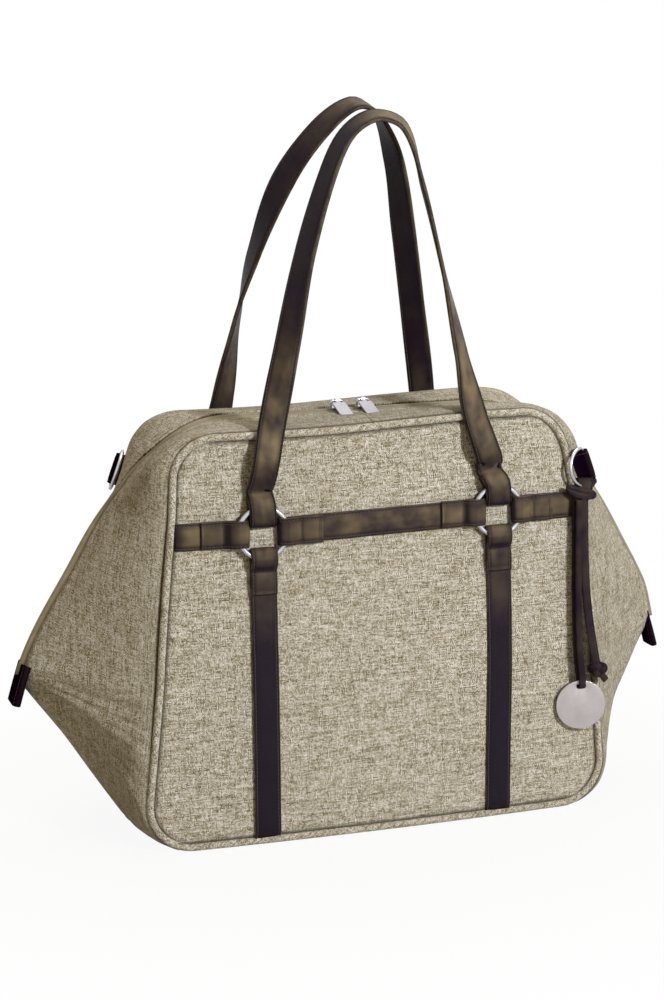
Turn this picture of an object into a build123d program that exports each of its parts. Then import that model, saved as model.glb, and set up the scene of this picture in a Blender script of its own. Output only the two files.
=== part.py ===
"""Winged tote diaper bag: fabric body with piped front and back panels, a zipped top gusset that
runs out along two side wings, leather straps on O-rings, two shoulder handles, side D-rings
and a hanging medallion. Millimetres, +Z up, front towards -Y, origin under the middle of the base."""

from build123d import *
from math import atan, cos, degrees, pi, radians, sin, sqrt
import os

# ---- driving dimensions: fabric body ----
base_half_width = 203.0        # front outline, where the side lines meet the base line
top_half_width = 166.0         # front outline, where the side lines meet the top line
panel_height = 334.0
base_corner_r = 38.0
top_corner_r = 40.0
side_bow = 1.5                 # outward bow of each upper side line
foot_rise = 0.4                # the piping clears the ground by this much
half_depth = 78.0              # centre of the bag to the front face, at the base
lean = degrees(atan(0.06))     # each face leans in towards the top
panel_crown = 6.0              # swell of the face above its edges
crown_reach = 190.0            # distance over which that swell fades out

ridge_height = 339.0           # top zipper line
ridge_corner = 160.0           # where the top line meets the wing's ridge line
ridge_corner_r = 110.0
ridge_bow = 10.0               # outward bow of the ridge between shoulder and wing tip
wing_reach = 282.0             # wing tip, from the centre
wing_height = 137.0            # wing tip, above the base
crease_foot = 191.0            # where the wing's lower crease meets the base line
crease_foot_r = 28.0

cloth = 3.0                    # lined gusset fabric
piping_w = 6.0
piping_proud = 2.0             # piping stands above the face
piping_deep = 4.0              # and as deep as the padded face behind it
gusset_inset = 1.0             # gusset fabric lies this far inside the piping's outer line
lip = 8.0                      # depth of the gusset's straight edge behind the face
base_half_length = 165.0       # seams between base panel and side gussets
lining_t = 1.0
lining_gap = 0.3
lining_below_mouth = 12.0
board_t = 1.2
board_margin = 6.0

# ---- zipper ----
mouth_half = 76.0              # half length of the part of the top that opens
tape_half = 14.0               # fabric edge to zipper line
tape_t = 1.2
coil_half = 2.8
coil_t = 2.4
seam_gap = 0.3                 # running gap between pieces that move apart
weld = 1.0                     # overlap of two solids joined into one piece
slider_length = 12.0
slider_width = 8.0
slider_rest = 15.0             # slider middle to the bag's centre, zipped shut
slider_plate = 1.2
slider_room = 0.35             # between coil and slider plates
crown_height = 6.0             # wire bail that carries the pull tag
crown_wire_r = 0.9
crown_length = 10.0
crown_bend_r = 2.2
tag_length = 22.0
tag_width = 11.0
tag_t = 1.6
tag_neck = (3.6, 5.5)          # width and length of the neck between tag and bail
tag_eye_r = 1.9
tag_drop = 17.0                # slope of a resting pull tag
end_tab_width = 24.0
end_tab_length = 34.0
end_tab_leather = 1.8
end_tab_slope = 18.5
end_tab_start = (-2.2, 12.0)   # top of the tab, from the wing tip

# ---- leather straps and rings ----
strap_w = 22.0
strap_t = 2.2
ring_x = 100.0                 # ring centres, from the centre line
ring_height = 258.5            # along the leaning face
ring_major = 20.2
ring_wire_r = 2.0
ring_room = 0.15
fold_start = 12.5              # ring centre to the nose of each strap's fold
handle_fold_start = 6.0        # the handles' folds hang further into the ring
fold_full = 25.0               # fold keeps its full height to here
fold_end = 34.0
doubled_end = 50.0             # the strap is two layers thick to here
cross_strap_half = 176.0
hinge_above_ring = 36.0        # ring centre to the line where a handle bends

# ---- handles ----
handle_t = 3.0
handle_top = 585.0
handle_bow = 6.0               # outward bow of the legs, clear of the bag's top edge
handle_over_end = 0.8          # the band's middle lies this far above its stitched end
handle_gap_half = 11.0         # apex of each handle, off the bag's middle plane
handle_steps = 14
front_straightness = 0.65      # 0 is an elliptic arch, 1 is two straight legs
front_shift = 19.0             # apex off centre
front_twist = 60.0             # turn of the band between ring and apex
back_straightness = 0.32
back_shift = -8.0
back_twist = 115.0
twist_reach = 0.6              # share of each leg over which the band turns

# ---- side D-rings ----
d_straight = 31.0
d_depth = 22.0
d_wire_r = 1.5
d_corner_r = 3.0
d_tab_w = 25.0
d_tab_leather = 1.8
d_tab_reach = 13.0             # seam to the D-ring's straight bar
d_tab_forward = 20.0           # turn of the tab away from the side, degrees
d_height = 287.0
d_slope = 12.0                 # the bar follows the sloping side
d_room = 0.2
d_right_turn = 216.9           # direction of the right ring's bow, seen from above
d_left_fold = 20.0             # turn of the left one's bow inwards from the gusset beside it

# ---- charm on the right D-ring ----
lace_w = 5.6
lace_t = 1.8
lace_bend = 3.3                # fold of the lace through the medallion
hitch_length = 6.5
hitch_room = 0.3
hitch_r = 3.6
hitch_bar = (22.0, 5.0, 5.0)
hitch_bar_offset = (-3.5, -6.2)   # forward of and below the ring's lowest point
medallion_r = 20.5
medallion_t = 2.0
medallion_bevel = 0.4
medallion_centre = (172.5, -80.0, 95.0)
slot_w = 8.0
slot_h = 3.4
slot_below_rim = 3.0
strand_apart = 7.0             # front to back, at the medallion
tail_apart = 3.2               # front to back, the two tails
knot_centre = (186.5, -80.5, 126.0)
knot_r = 7.0
# routes of the strands, from the hitch down
medal_route = [(171.0, -68.9, 262.8), (169.6, -74.4, 190.0)]
tail_route = [(177.0, -68.9, 262.8), (177.6, -74.4, 190.0), (185.5, -79.5, 134.0)]

# ---- inner pocket ----
pocket_half_width = 90.0
pocket_bottom = 60.0
pocket_top = 190.0
pocket_depth = 15.0

os.makedirs("parts", exist_ok=True)


# ---------------------------------------------------------------- shared geometry of the faces
face = Plane(origin=(0, -half_depth, foot_rise), x_dir=(1, 0, 0),
             z_dir=(0, -cos(radians(lean)), sin(radians(lean))))
crown_middle = panel_height / 2
face_r = (crown_reach**2 + panel_crown**2) / (2 * panel_crown)


def at_face(x, v, w):
    """Point at x across, v up along the leaning front face and w out from it."""
    return face.from_local_coords(Vector(x, v, w))


def rise(x, v):
    """Height of the swelling face above the flat leaning plane."""
    return panel_crown - face_r + sqrt(face_r**2 - x**2 - (v - crown_middle) ** 2)


def swell(offset):
    """Huge ball whose surface is the front face, moved out by offset."""
    return Pos(at_face(0, crown_middle, panel_crown - face_r)) * Sphere(face_r + offset)


def to_back(shape):
    return mirror(shape, about=Plane.XZ)


def within_faces(solid, offset):
    """Keep what lies behind the front face and in front of the back face."""
    ball = swell(offset)
    return solid & ball & to_back(ball)


def layer(sketch, low, high):
    """Sheet over the front face, between two offsets, cut to a sketch in the face's plane."""
    prism = extrude(face.offset(-3 * lip) * sketch, 6 * lip)
    return (prism & swell(high)) - swell(low)


def fillet_points(vertex, before, after, radius):
    """Start, middle and end of the arc that rounds a vertex."""
    v, to_b, to_a = Vector(vertex), Vector(before), Vector(after)
    b, a = (to_b - v).normalized(), (to_a - v).normalized()
    half = radians(b.get_angle(a) / 2)
    bisector = (a + b).normalized()
    centre = v + bisector * (radius / sin(half))
    reach = radius * cos(half) / sin(half)
    return v + b * reach, centre - bisector * radius, v + a * reach


def inset_points(points, inset):
    """Move each point of a half outline inwards, square to its neighbours."""
    first, last = points[0], points[-1]
    chain = [Vector(-first.X, first.Y), *points, Vector(-last.X, last.Y)]
    moved = []
    for before, here, after in zip(chain, chain[1:], chain[2:]):
        n1 = (here - before).normalized().rotate(Axis.Z, 90)
        n2 = (after - here).normalized().rotate(Axis.Z, 90)
        normal = (n1 + n2).normalized()
        moved.append(here + normal * (inset / max(normal.dot(n1), 0.5)))
    return moved


def outline(points):
    """Closed outline, symmetric about X = 0, from its right half's eight points."""
    b, bm, s, t, rm, u, cm, x = points
    right = [ThreePointArc(b, bm, s), Line(s, t),
             ThreePointArc(t, rm, u), ThreePointArc(u, cm, x)]
    flip = [Vector(-p.X, p.Y) for p in points]
    fb, fbm, fs, ft, frm, fu, fcm, fx = flip
    left = [ThreePointArc(fx, fcm, fu), ThreePointArc(fu, frm, ft), Line(ft, fs),
            ThreePointArc(fs, fbm, fb)]
    return make_face(Curve() + [Line(fb, b), *right, Line(x, fx), *left])


def bowed_middle(start, end, bow):
    middle = (start + end) / 2
    return middle + (end - start).normalized().rotate(Axis.Z, -90) * bow


def face_points():
    base, top = Vector(base_half_width, 0), Vector(top_half_width, panel_height)
    b, bm, s = fillet_points(base, (0, 0), top, base_corner_r)
    u, cm, x = fillet_points(top, base, (0, panel_height), top_corner_r)
    t = base + (top - base) * (wing_height / panel_height)
    return [b, bm, s, t, bowed_middle(t, u, side_bow), u, cm, x]


def ridge_points():
    tip, foot = Vector(wing_reach, wing_height), Vector(crease_foot, 0)
    shoulder = Vector(ridge_corner, ridge_height)
    b, bm, s = fillet_points(foot, (0, 0), tip, crease_foot_r)
    u, cm, x = fillet_points(shoulder, tip, (0, ridge_height), ridge_corner_r)
    return [b, bm, s, tip, bowed_middle(tip, u, ridge_bow), u, cm, x]


def face_outline(inset):
    return outline(inset_points(face_points(), inset))


ridge_plane = Plane(origin=(0, 0, foot_rise), x_dir=(1, 0, 0), z_dir=(0, -1, 0))


def casing(inset):
    """Solid bag body, this far inside the outer lines, before the faces close it."""
    edge = face_outline(inset)
    ridge = outline(inset_points(ridge_points(), inset))
    front = loft([ridge_plane * ridge, face.offset(-lip) * edge], ruled=True)
    front += extrude(face.offset(-lip) * edge, lip + piping_proud)
    return front + to_back(front)


def slab(x0, x1, y0, y1, z0, z1):
    return Pos((x0 + x1) / 2, (y0 + y1) / 2, (z0 + z1) / 2) * Box(x1 - x0, y1 - y0, z1 - z0)


far = 2 * wing_reach


def write(shape, node):
    export_step(shape, f"parts/{node}.step")


# ---------------------------------------------------------------- front and back faces
panel_sketch = face_outline(piping_w)
front_panel = layer(panel_sketch, -piping_deep, 0)
front_piping = layer(face_outline(0) - panel_sketch, -piping_deep, piping_proud)
write(front_panel, "front_panel")
write(front_piping, "front_piping")
write(to_back(front_panel), "back_panel")
write(to_back(front_piping), "back_piping")

# ---------------------------------------------------------------- gussets, base, zipper
outer = within_faces(casing(gusset_inset), -piping_deep)
gusset = outer - casing(gusset_inset + cloth)
tape_inset = gusset_inset + (cloth - tape_t) / 2
tape_band = (within_faces(casing(tape_inset), -piping_deep) - casing(tape_inset + tape_t))
tape_band &= slab(-far, far, -tape_half, tape_half, wing_height, far)
coil_inset = tape_inset - (coil_t - tape_t) / 2
coil_band = within_faces(casing(coil_inset), -piping_deep) - casing(coil_inset + coil_t)
coil_band &= slab(-far, far, -coil_half, coil_half, wing_height, far)

top_z = ridge_height + foot_rise - gusset_inset
base_z = cloth
base = slab(-base_half_length, base_half_length, -far, far, 0, base_z)
base_panel = within_faces(base, -piping_deep)
write(base_panel, "base_panel")

board_half = base_half_length - board_margin
board = slab(-board_half, board_half, -far, far, base_z, base_z + board_t)
write(within_faces(board, -piping_deep - board_margin), "base_board")

mid_z = panel_height / 2
for side, sign in (("left", -1), ("right", 1)):
    inner_x, outer_x = sorted((sign * base_half_length, sign * far))
    top_x0, top_x1 = sorted((sign * (mouth_half + seam_gap), sign * far))
    wing = gusset & (slab(inner_x, outer_x, -far, far, -1, mid_z)
                     + slab(top_x0, top_x1, -far, far, mid_z, far))
    for half, y_sign in (("front", -1), ("back", 1)):
        y0, y1 = sorted((0, y_sign * far))
        piece = wing & slab(-far, far, y0, y1, -1, far)
        piece -= slab(-far, far, -tape_half, tape_half, wing_height, far)
        write(piece, f"side_gusset_{side}_{half}")
    zipper = (tape_band + coil_band) & slab(top_x0, top_x1, -far, far, 0, far)
    write(zipper, f"zipper_{side}")

# the two halves of the top that open between the sliders
mouth_span = slab(-mouth_half, mouth_half, -far, -tape_half, mid_z, far)
top_flap_front = within_faces(gusset & mouth_span, -piping_deep - seam_gap)
write(top_flap_front, "top_flap_front")
write(to_back(top_flap_front), "top_flap_back")
flap_box = top_flap_front.bounding_box()
print("top flap y, z:", round(flap_box.min.Y, 3), round(flap_box.min.Z, 3))

split = slab(-mouth_half, mouth_half, -tape_half, -seam_gap / 2, mid_z, far)
nose_x = slider_rest - slider_length / 2 + slider_width / 4
post_half = slider_width / 5
parted = slab(-nose_x - post_half, nose_x + post_half, -post_half - seam_gap, 0, mid_z, far)
zipper_tape_front = ((tape_band + coil_band) & split) - parted
write(zipper_tape_front, "zipper_tape_front")
write(to_back(zipper_tape_front), "zipper_tape_back")

# ---------------------------------------------------------------- lining and inner pocket
lining_inset = gusset_inset + cloth + lining_gap


def lining_solid(inset):
    return within_faces(casing(inset), -(piping_deep + lining_gap + inset - lining_inset))


lining = lining_solid(lining_inset) - lining_solid(lining_inset + lining_t)
lining -= slab(-base_half_length, base_half_length, -far, far, 0, base_z + board_t + lining_gap)
mouth_room = mouth_half + slider_length / 2 + lining_gap + lining_t
lining -= slab(-mouth_room, mouth_room, -far, far, panel_height - lining_below_mouth, far)
write(lining, "lining")

pocket_back = -(piping_deep + lining_gap + lining_t)
pocket_face = Pos(0, (pocket_bottom + pocket_top) / 2) * Rectangle(
    2 * pocket_half_width, pocket_top - pocket_bottom)
pocket_mouth = Pos(0, (pocket_bottom + pocket_top) / 2 + lining_t) * Rectangle(
    2 * (pocket_half_width - lining_t), pocket_top - pocket_bottom)
pocket = layer(pocket_face, pocket_back - pocket_depth, pocket_back)
pocket -= layer(pocket_mouth, pocket_back - pocket_depth + lining_t, pocket_back + 1)
write(to_back(pocket), "inner_pocket")

# ---------------------------------------------------------------- zipper end tabs at the wing tips
tab_wrap = 2 * end_tab_leather + tape_t
tab_profile = Pos(0, -end_tab_length / 2) * Rectangle(tab_wrap, end_tab_length)
tab_profile = fillet(tab_profile.vertices(), end_tab_leather)
tip = Vector(wing_reach - gusset_inset, 0, wing_height + foot_rise)
tab_plane = Plane(origin=tip + Vector(end_tab_start[0], 0, end_tab_start[1]), x_dir=(1, 0, 0),
                  z_dir=(0, -1, 0))
end_tab = extrude(tab_plane * (Rot(0, 0, end_tab_slope) * tab_profile), end_tab_width / 2, both=True)
end_tab -= casing(gusset_inset)
write(end_tab, "zip_tab_right")
write(mirror(end_tab, about=Plane.YZ), "zip_tab_left")

# ---------------------------------------------------------------- O-rings and strap folds
ring_w = rise(ring_x, ring_height) + strap_t + ring_wire_r + ring_room


def ring_plane(sign):
    return Plane(origin=at_face(sign * ring_x, ring_height, ring_w), x_dir=(1, 0, 0),
                 z_dir=face.z_dir)


def ring(sign, grown=0.0):
    return ring_plane(sign).location * Torus(ring_major, ring_wire_r + grown)


def fold(sign, turn, start=fold_start):
    """Leather folded round a ring's wire. turn is the strap's direction, 0 = towards +X."""
    low = -ring_w - strap_t
    high = ring_wire_r + ring_room + strap_t
    doubled = rise(ring_x, ring_height) + 2 * strap_t - ring_w
    profile = Polygon((start, low), (fold_end, low), (fold_end, doubled),
                      (fold_full, high), (start, high), align=None)
    nose = profile.vertices().group_by(Axis.X)[0]
    profile = fillet(nose.sort_by(Axis.Y)[-1:], ring_wire_r + strap_t - 0.4)
    across = Plane(origin=(0, 0, 0), x_dir=(1, 0, 0), z_dir=(0, -1, 0))
    block = extrude(across * profile, strap_w / 2, both=True)
    block = ring_plane(sign).location * Rot(0, 0, turn) * block
    return block - swell(0)


def strip(x0, x1, v0, v1, thickness):
    sketch = Pos((x0 + x1) / 2, (v0 + v1) / 2) * Rectangle(x1 - x0, v1 - v0)
    return layer(sketch, 0, thickness)


half_strap = strap_w / 2
ring_low, ring_high = ring_height - half_strap, ring_height + half_strap
straps = {
    "cross_strap_{}_left": strip(-cross_strap_half, -ring_x - fold_start, ring_low, ring_high, strap_t)
    + strip(-ring_x - doubled_end, weld - ring_x - fold_end, ring_low, ring_high, 2 * strap_t)
    + fold(-1, 180),
    "cross_strap_{}_right": strip(ring_x + fold_start, cross_strap_half, ring_low, ring_high, strap_t)
    + strip(ring_x + fold_end - weld, ring_x + doubled_end, ring_low, ring_high, 2 * strap_t)
    + fold(1, 0),
    "cross_strap_{}_centre": strip(fold_start - ring_x, ring_x - fold_start, ring_low, ring_high, strap_t)
    + strip(fold_end - weld - ring_x, doubled_end - ring_x, ring_low, ring_high, 2 * strap_t)
    + strip(ring_x - doubled_end, ring_x - fold_end + weld, ring_low, ring_high, 2 * strap_t)
    + fold(-1, 0) + fold(1, 180),
}
for side, sign in (("left", -1), ("right", 1)):
    x0, x1 = sign * ring_x - half_strap, sign * ring_x + half_strap
    straps["down_strap_{}_" + side] = (
        strip(x0, x1, piping_w, ring_height - fold_start, strap_t)
        + strip(x0, x1, ring_height - doubled_end, ring_height - fold_end + weld, 2 * strap_t)
        + fold(sign, 270))
    straps["handle_end_{}_" + side] = (
        fold(sign, 90, handle_fold_start)
        + strip(x0, x1, ring_height + fold_end - weld, ring_height + hinge_above_ring, 2 * strap_t))

inside_face = extrude(face.offset(-3 * lip) * panel_sketch, 6 * lip)
both_rings = ring(-1, ring_room) + ring(1, ring_room)
for name, strap in straps.items():
    strap = (strap & inside_face) - both_rings
    write(strap, name.format("front"))
    write(to_back(strap), name.format("back"))
for side, sign in (("left", -1), ("right", 1)):
    write(ring(sign), f"ring_front_{side}")
    write(to_back(ring(sign)), f"ring_back_{side}")

# ---------------------------------------------------------------- handles
handle_low = at_face(0, ring_height + hinge_above_ring + seam_gap,
                     rise(ring_x, ring_height) + 2 * strap_t + handle_over_end)
handle_apex = Vector(0, -handle_gap_half, handle_top)
handle_up = (handle_apex - handle_low).normalized()
handle_out = Vector(1, 0, 0).cross(handle_up)
handle_rise = (handle_apex - handle_low).length


def handle_point(share, straightness, shift):
    """Centre line of the arch: share runs from 0 at the left ring to 1 at the right one."""
    angle = pi * share
    height = sin(angle)
    legs = straightness * (1 - height) * (1 if share < 0.5 else -1) + (1 - straightness) * cos(angle)
    return (handle_low + Vector(-ring_x * legs + shift * height**2, 0, 0)
            + handle_up * (handle_rise * height)
            + handle_out * (4 * handle_bow * height * (1 - height)))


def handle(straightness, shift, twist):
    """Ruled band through turned rectangles: face outwards at the rings, turned over the top."""
    sections = []
    for step in range(handle_steps + 1):
        share = step / handle_steps
        here = handle_point(share, straightness, shift)
        after = handle_point(min(share + 0.004, 1), straightness, shift)
        before = handle_point(max(share - 0.004, 0), straightness, shift)
        along = (after - before).normalized()
        if step in (0, handle_steps):
            along = handle_up * (1 if step == 0 else -1)
        outward = handle_out.cross(along).normalized()
        leg = min(2 * min(share, 1 - share) / twist_reach, 1)
        turn = radians(twist) * leg * leg * (3 - 2 * leg)
        normal = handle_out * cos(turn) + outward * sin(turn)
        place = Plane(origin=here, x_dir=along.cross(normal), z_dir=along)
        sections.append(place * Rectangle(strap_w, handle_t))
    return loft(sections, ruled=True)


write(handle(front_straightness, front_shift, front_twist), "handle_front")
write(to_back(handle(back_straightness, back_shift, back_twist)), "handle_back")
handle_axis = handle_low + handle_out * (handle_t / 2)
print("handle hinge axis y, z:", round(handle_axis.Y, 3), round(handle_axis.Z, 3))

# ---------------------------------------------------------------- sliders and pulls
tape_top = top_z - (cloth - tape_t) / 2
coil_top = tape_top + (coil_t - tape_t) / 2
coil_low = coil_top - coil_t


def slider(sign):
    """Two plates joined by a post at the nose, with a wire crown for the pull."""
    x = sign * slider_rest
    plate = fillet((Rectangle(slider_length, slider_width)).vertices(), slider_width / 3)
    top = Pos(x, 0, coil_top + slider_room) * extrude(plate, slider_plate)
    low = Pos(x, 0, coil_low - slider_room - slider_plate) * extrude(plate, slider_plate)
    nose = x - sign * (slider_length / 2 - post_half - seam_gap)
    height = coil_t + 2 * slider_room + slider_plate
    post = Pos(nose, 0, coil_low - slider_room - slider_plate / 2) * Cylinder(
        post_half, height, align=(Align.CENTER, Align.CENTER, Align.MIN))
    bail_base = crown_z - crown_height
    half = crown_length / 2
    path = FilletPolyline((x - half, 0, bail_base), (x - half, 0, crown_z), (x + half, 0, crown_z),
                          (x + half, 0, bail_base), radius=crown_bend_r)
    bail = sweep(Plane(origin=path @ 0, z_dir=path % 0) * Circle(crown_wire_r), path)
    return top + low + post + bail


crown_z = coil_top + slider_room + slider_plate / 2 + crown_height


def pull_tag(sign):
    """Flat tag whose narrow neck ends in an eye round the slider's bail."""
    neck_w, neck_l = tag_neck
    plane = Plane(origin=(sign * slider_rest, 0, crown_z), x_dir=(1, 0, 0),
                  z_dir=(0, -sin(radians(tag_drop)), cos(radians(tag_drop))))
    plate = Pos(0, -neck_l - tag_length / 2) * Rectangle(tag_width, tag_length)
    plate = fillet(plate.vertices(), tag_t)
    neck = Pos(0, -(neck_l + weld) / 2) * Rectangle(neck_w, neck_l + weld)
    flat = extrude(plane * (plate + neck), tag_t / 2, both=True)
    eye = plane.location * Rot(0, 90, 0) * Cylinder(tag_eye_r, neck_w)
    bore = plane.location * Rot(0, 90, 0) * Cylinder(crown_wire_r + ring_room, 2 * neck_w)
    return flat + eye - bore


for side, sign in (("left", -1), ("right", 1)):
    write(slider(sign), f"slider_{side}")
    write(pull_tag(sign), f"pull_tag_{side}")

# ---------------------------------------------------------------- side D-rings and their tabs
down_bar = Vector(sin(radians(d_slope)), 0, -cos(radians(d_slope)))
out_bar = Vector(cos(radians(d_slope)), 0, sin(radians(d_slope)))
side_x = base_half_width + (top_half_width - base_half_width) * d_height / panel_height
d_root = at_face(side_x - gusset_inset, d_height, -piping_deep - d_tab_leather - seam_gap)


def around_bar(angle):
    """Direction square to the D-ring's bar; 0 is outwards and 90 towards the back."""
    return out_bar * cos(radians(angle)) + Vector(0, 1, 0) * sin(radians(angle))


bar_middle = d_root + around_bar(-d_tab_forward) * d_tab_reach
ridge_x = ridge_corner + (wing_reach - ridge_corner) * (ridge_height - d_height) / (
    ridge_height - wing_height)
gusset_turn = degrees(atan(-d_root.Y / (ridge_x - side_x)))
arc_r = ((d_straight / 2) ** 2 + d_depth**2) / (2 * d_depth)


def d_ring(angle):
    """Straight bar closed by a round bow that points along the given angle."""
    plane = Plane(origin=bar_middle, x_dir=around_bar(angle),
                  z_dir=around_bar(angle).cross(down_bar))
    half = d_straight / 2
    bow = ThreePointArc((0, half), (d_depth, 0), (0, -half))
    inside = make_face(Curve() + [bow, Line((0, -half), (0, half))])
    path = plane * fillet(inside.vertices(), d_corner_r).face().outer_wire()
    return sweep(Plane(origin=path @ 0, z_dir=path % 0) * Circle(d_wire_r), path)


def d_ring_tab():
    """Leather folded round the bar, sewn in behind the piping."""
    plane = Plane(origin=d_root, x_dir=around_bar(-d_tab_forward), z_dir=down_bar)
    wrap = d_wire_r + d_room + d_tab_leather
    band = Pos(d_tab_reach / 2 - weld) * Rectangle(d_tab_reach + 2 * weld, 2 * d_tab_leather)
    profile = band + Pos(d_tab_reach) * Circle(wrap)
    profile -= Pos(d_tab_reach) * Circle(d_wire_r + d_room)
    tab = extrude(plane * profile, d_tab_w / 2, both=True)
    return tab - casing(gusset_inset) - front_piping


tab = d_ring_tab()
write(tab, "d_ring_tab_right")
write(tab.rotate(Axis.Z, 180), "d_ring_tab_left")
write(d_ring(d_right_turn), "d_ring_right")
write(d_ring(gusset_turn + d_left_fold).rotate(Axis.Z, 180), "d_ring_left")

# ---------------------------------------------------------------- charm: hitch, lace, knot, medallion
bow_dir = around_bar(d_right_turn)
ring_bottom = bar_middle + bow_dir * (d_depth - arc_r) + down_bar * arc_r
bar_length, bar_deep, bar_high = hitch_bar
forward, below = hitch_bar_offset
across_bow = Vector(bow_dir.X, bow_dir.Y, 0).normalized()
sleeve_place = Plane(origin=ring_bottom, z_dir=bow_dir).location
hitch = sleeve_place * Cylinder(hitch_r, hitch_length)
knot_bar = Box(bar_length, bar_deep, bar_high)
knot_bar = fillet(knot_bar.edges(), bar_high / 3)
hitch += Pos(ring_bottom + Vector(0, forward, below)) * Rot(0, 0, degrees(
    atan(across_bow.Y / across_bow.X))) * knot_bar
bow_sag = arc_r - sqrt(arc_r**2 - (hitch_length / 2) ** 2)
hitch -= sleeve_place * Cylinder(d_wire_r + hitch_room + bow_sag, 3 * hitch_length)
write(hitch, "charm_hitch")


def lace(points, bends=()):
    """Flat lace in straight runs and arcs, each arc as large as its runs allow, unless given."""
    points = [Vector(p) for p in points]
    radii = []
    for k, (a, b, c) in enumerate(zip(points, points[1:], points[2:])):
        turn = radians((b - a).get_angle(c - b))
        radii.append(dict(bends).get(k, 0.45 * min((b - a).length, (c - b).length)
                                  / (sin(turn / 2) / cos(turn / 2))))
    path = FilletPolyline(*points, radius=radii) if radii else Line(*points)
    section = Plane(origin=path @ 0, x_dir=(1, 0, 0), z_dir=path % 0) * Rectangle(lace_w, lace_t)
    band = sweep(section, path)
    print("lace radii", [round(r, 1) for r in radii], "length", round(path.length, 1),
          "volume share", round(band.volume / (path.length * lace_w * lace_t), 4))
    return band


def shifted(points, y):
    return [(p[0], p[1] + y, p[2]) for p in points]


mx, my, mz = medallion_centre
slot_z = mz + medallion_r - slot_below_rim - slot_h / 2
front_strand = shifted(medal_route, -strand_apart / 2) + [(mx, my - strand_apart / 2, slot_z)]
back_strand = shifted(medal_route, strand_apart / 2) + [(mx, my + strand_apart / 2, slot_z)]
lace_route = front_strand + back_strand[::-1]
write(lace(lace_route, {1: lace_bend, 2: lace_bend}), "charm_lace")
for name, y in (("charm_tail_front", -tail_apart / 2), ("charm_tail_back", tail_apart / 2)):
    write(lace(shifted(tail_route, y)), name)
write(Pos(*knot_centre) * Sphere(knot_r), "lace_knot")

flat_disc = Circle(medallion_r) - Pos(0, slot_z - mz) * Rectangle(slot_w, slot_h)
disc_plane = Plane(origin=medallion_centre, x_dir=(1, 0, 0), z_dir=(0, -1, 0))
medallion = extrude(disc_plane * flat_disc, medallion_t / 2, both=True)
write(chamfer(medallion.edges().filter_by(GeomType.CIRCLE), medallion_bevel), "medallion")

for label, place in (("d bar", bar_middle), ("ring bottom", ring_bottom), ("bow", bow_dir),
                     ("down bar", down_bar), ("left bow", around_bar(gusset_turn + d_left_fold))):
    print(label, tuple(round(c, 3) for c in place))
print("crown z", round(crown_z, 3), "coil top", round(coil_top, 3))
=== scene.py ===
"""Wide-mouthed nappy bag with winged sides: the finished look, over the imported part."""
from bisect import bisect_left
from functools import lru_cache
from math import atan, cos, exp, hypot, pi, radians, sin, sqrt, tan

import bmesh
import bpy
from mathutils import Matrix, Vector, noise


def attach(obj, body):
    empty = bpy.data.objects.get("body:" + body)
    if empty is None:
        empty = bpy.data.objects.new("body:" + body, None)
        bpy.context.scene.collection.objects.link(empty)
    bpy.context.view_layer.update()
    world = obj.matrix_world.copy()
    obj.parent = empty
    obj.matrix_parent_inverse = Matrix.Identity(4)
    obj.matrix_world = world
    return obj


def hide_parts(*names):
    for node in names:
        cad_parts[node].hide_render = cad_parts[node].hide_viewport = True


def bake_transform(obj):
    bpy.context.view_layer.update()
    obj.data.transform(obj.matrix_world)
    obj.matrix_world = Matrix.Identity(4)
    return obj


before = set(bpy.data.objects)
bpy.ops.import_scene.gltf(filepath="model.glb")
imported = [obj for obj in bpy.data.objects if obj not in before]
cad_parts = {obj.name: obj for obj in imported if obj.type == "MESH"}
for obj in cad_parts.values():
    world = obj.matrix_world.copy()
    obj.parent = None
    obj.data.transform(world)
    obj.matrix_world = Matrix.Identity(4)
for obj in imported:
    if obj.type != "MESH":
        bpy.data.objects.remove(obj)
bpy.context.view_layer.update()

MM = 0.001

# ------------------------------------------------------------------------------------------
# Camera: a long lens, a little to the bag's left and above it.


def new_object(name, data):
    thing = bpy.data.objects.new(name, data)
    bpy.context.scene.collection.objects.link(thing)
    return thing


def aim(thing, place, target):
    thing.location = place
    thing.rotation_euler = (target - thing.location).to_track_quat("-Z", "Y").to_euler()


camera_data = bpy.data.cameras.new("camera")
camera_data.sensor_fit = "VERTICAL"
camera_data.sensor_height = 36.0
camera_data.lens = 79.2
camera = new_object("camera", camera_data)
aim(camera, (-0.5927, -1.6802, 0.6412), Vector((-0.019, 0.0, 0.262)))
bpy.context.scene.camera = camera
bpy.context.scene.view_settings.view_transform = "Standard"

# ------------------------------------------------------------------------------------------
# Charm laces: flat leather thong, cut 5.6 mm wide. One length is looped through the hitch on
# the right D-ring and the medallion's slot; the two ends of another hang down to a knot.
lace_width, lace_thick = 5.6, 1.8
medal_route = [(171.0, -68.9, 263.6), (170.6, -70.6, 238.0), (169.6, -74.4, 190.0),
               (170.6, -77.4, 136.0), (172.9, -79.4, 116.0)]
slot_x, slot_y, slot_turn = 173.1, -80.0, [(0.54, 107.4), (1.44, 105.2)]
tail_route = [(177.0, -68.9, 263.6), (176.8, -70.8, 236.0), (177.6, -74.4, 190.0),
              (181.6, -77.6, 152.0), (186.4, -80.2, 125.0)]
strand_apart, tail_apart = 7.0, 3.2


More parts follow.
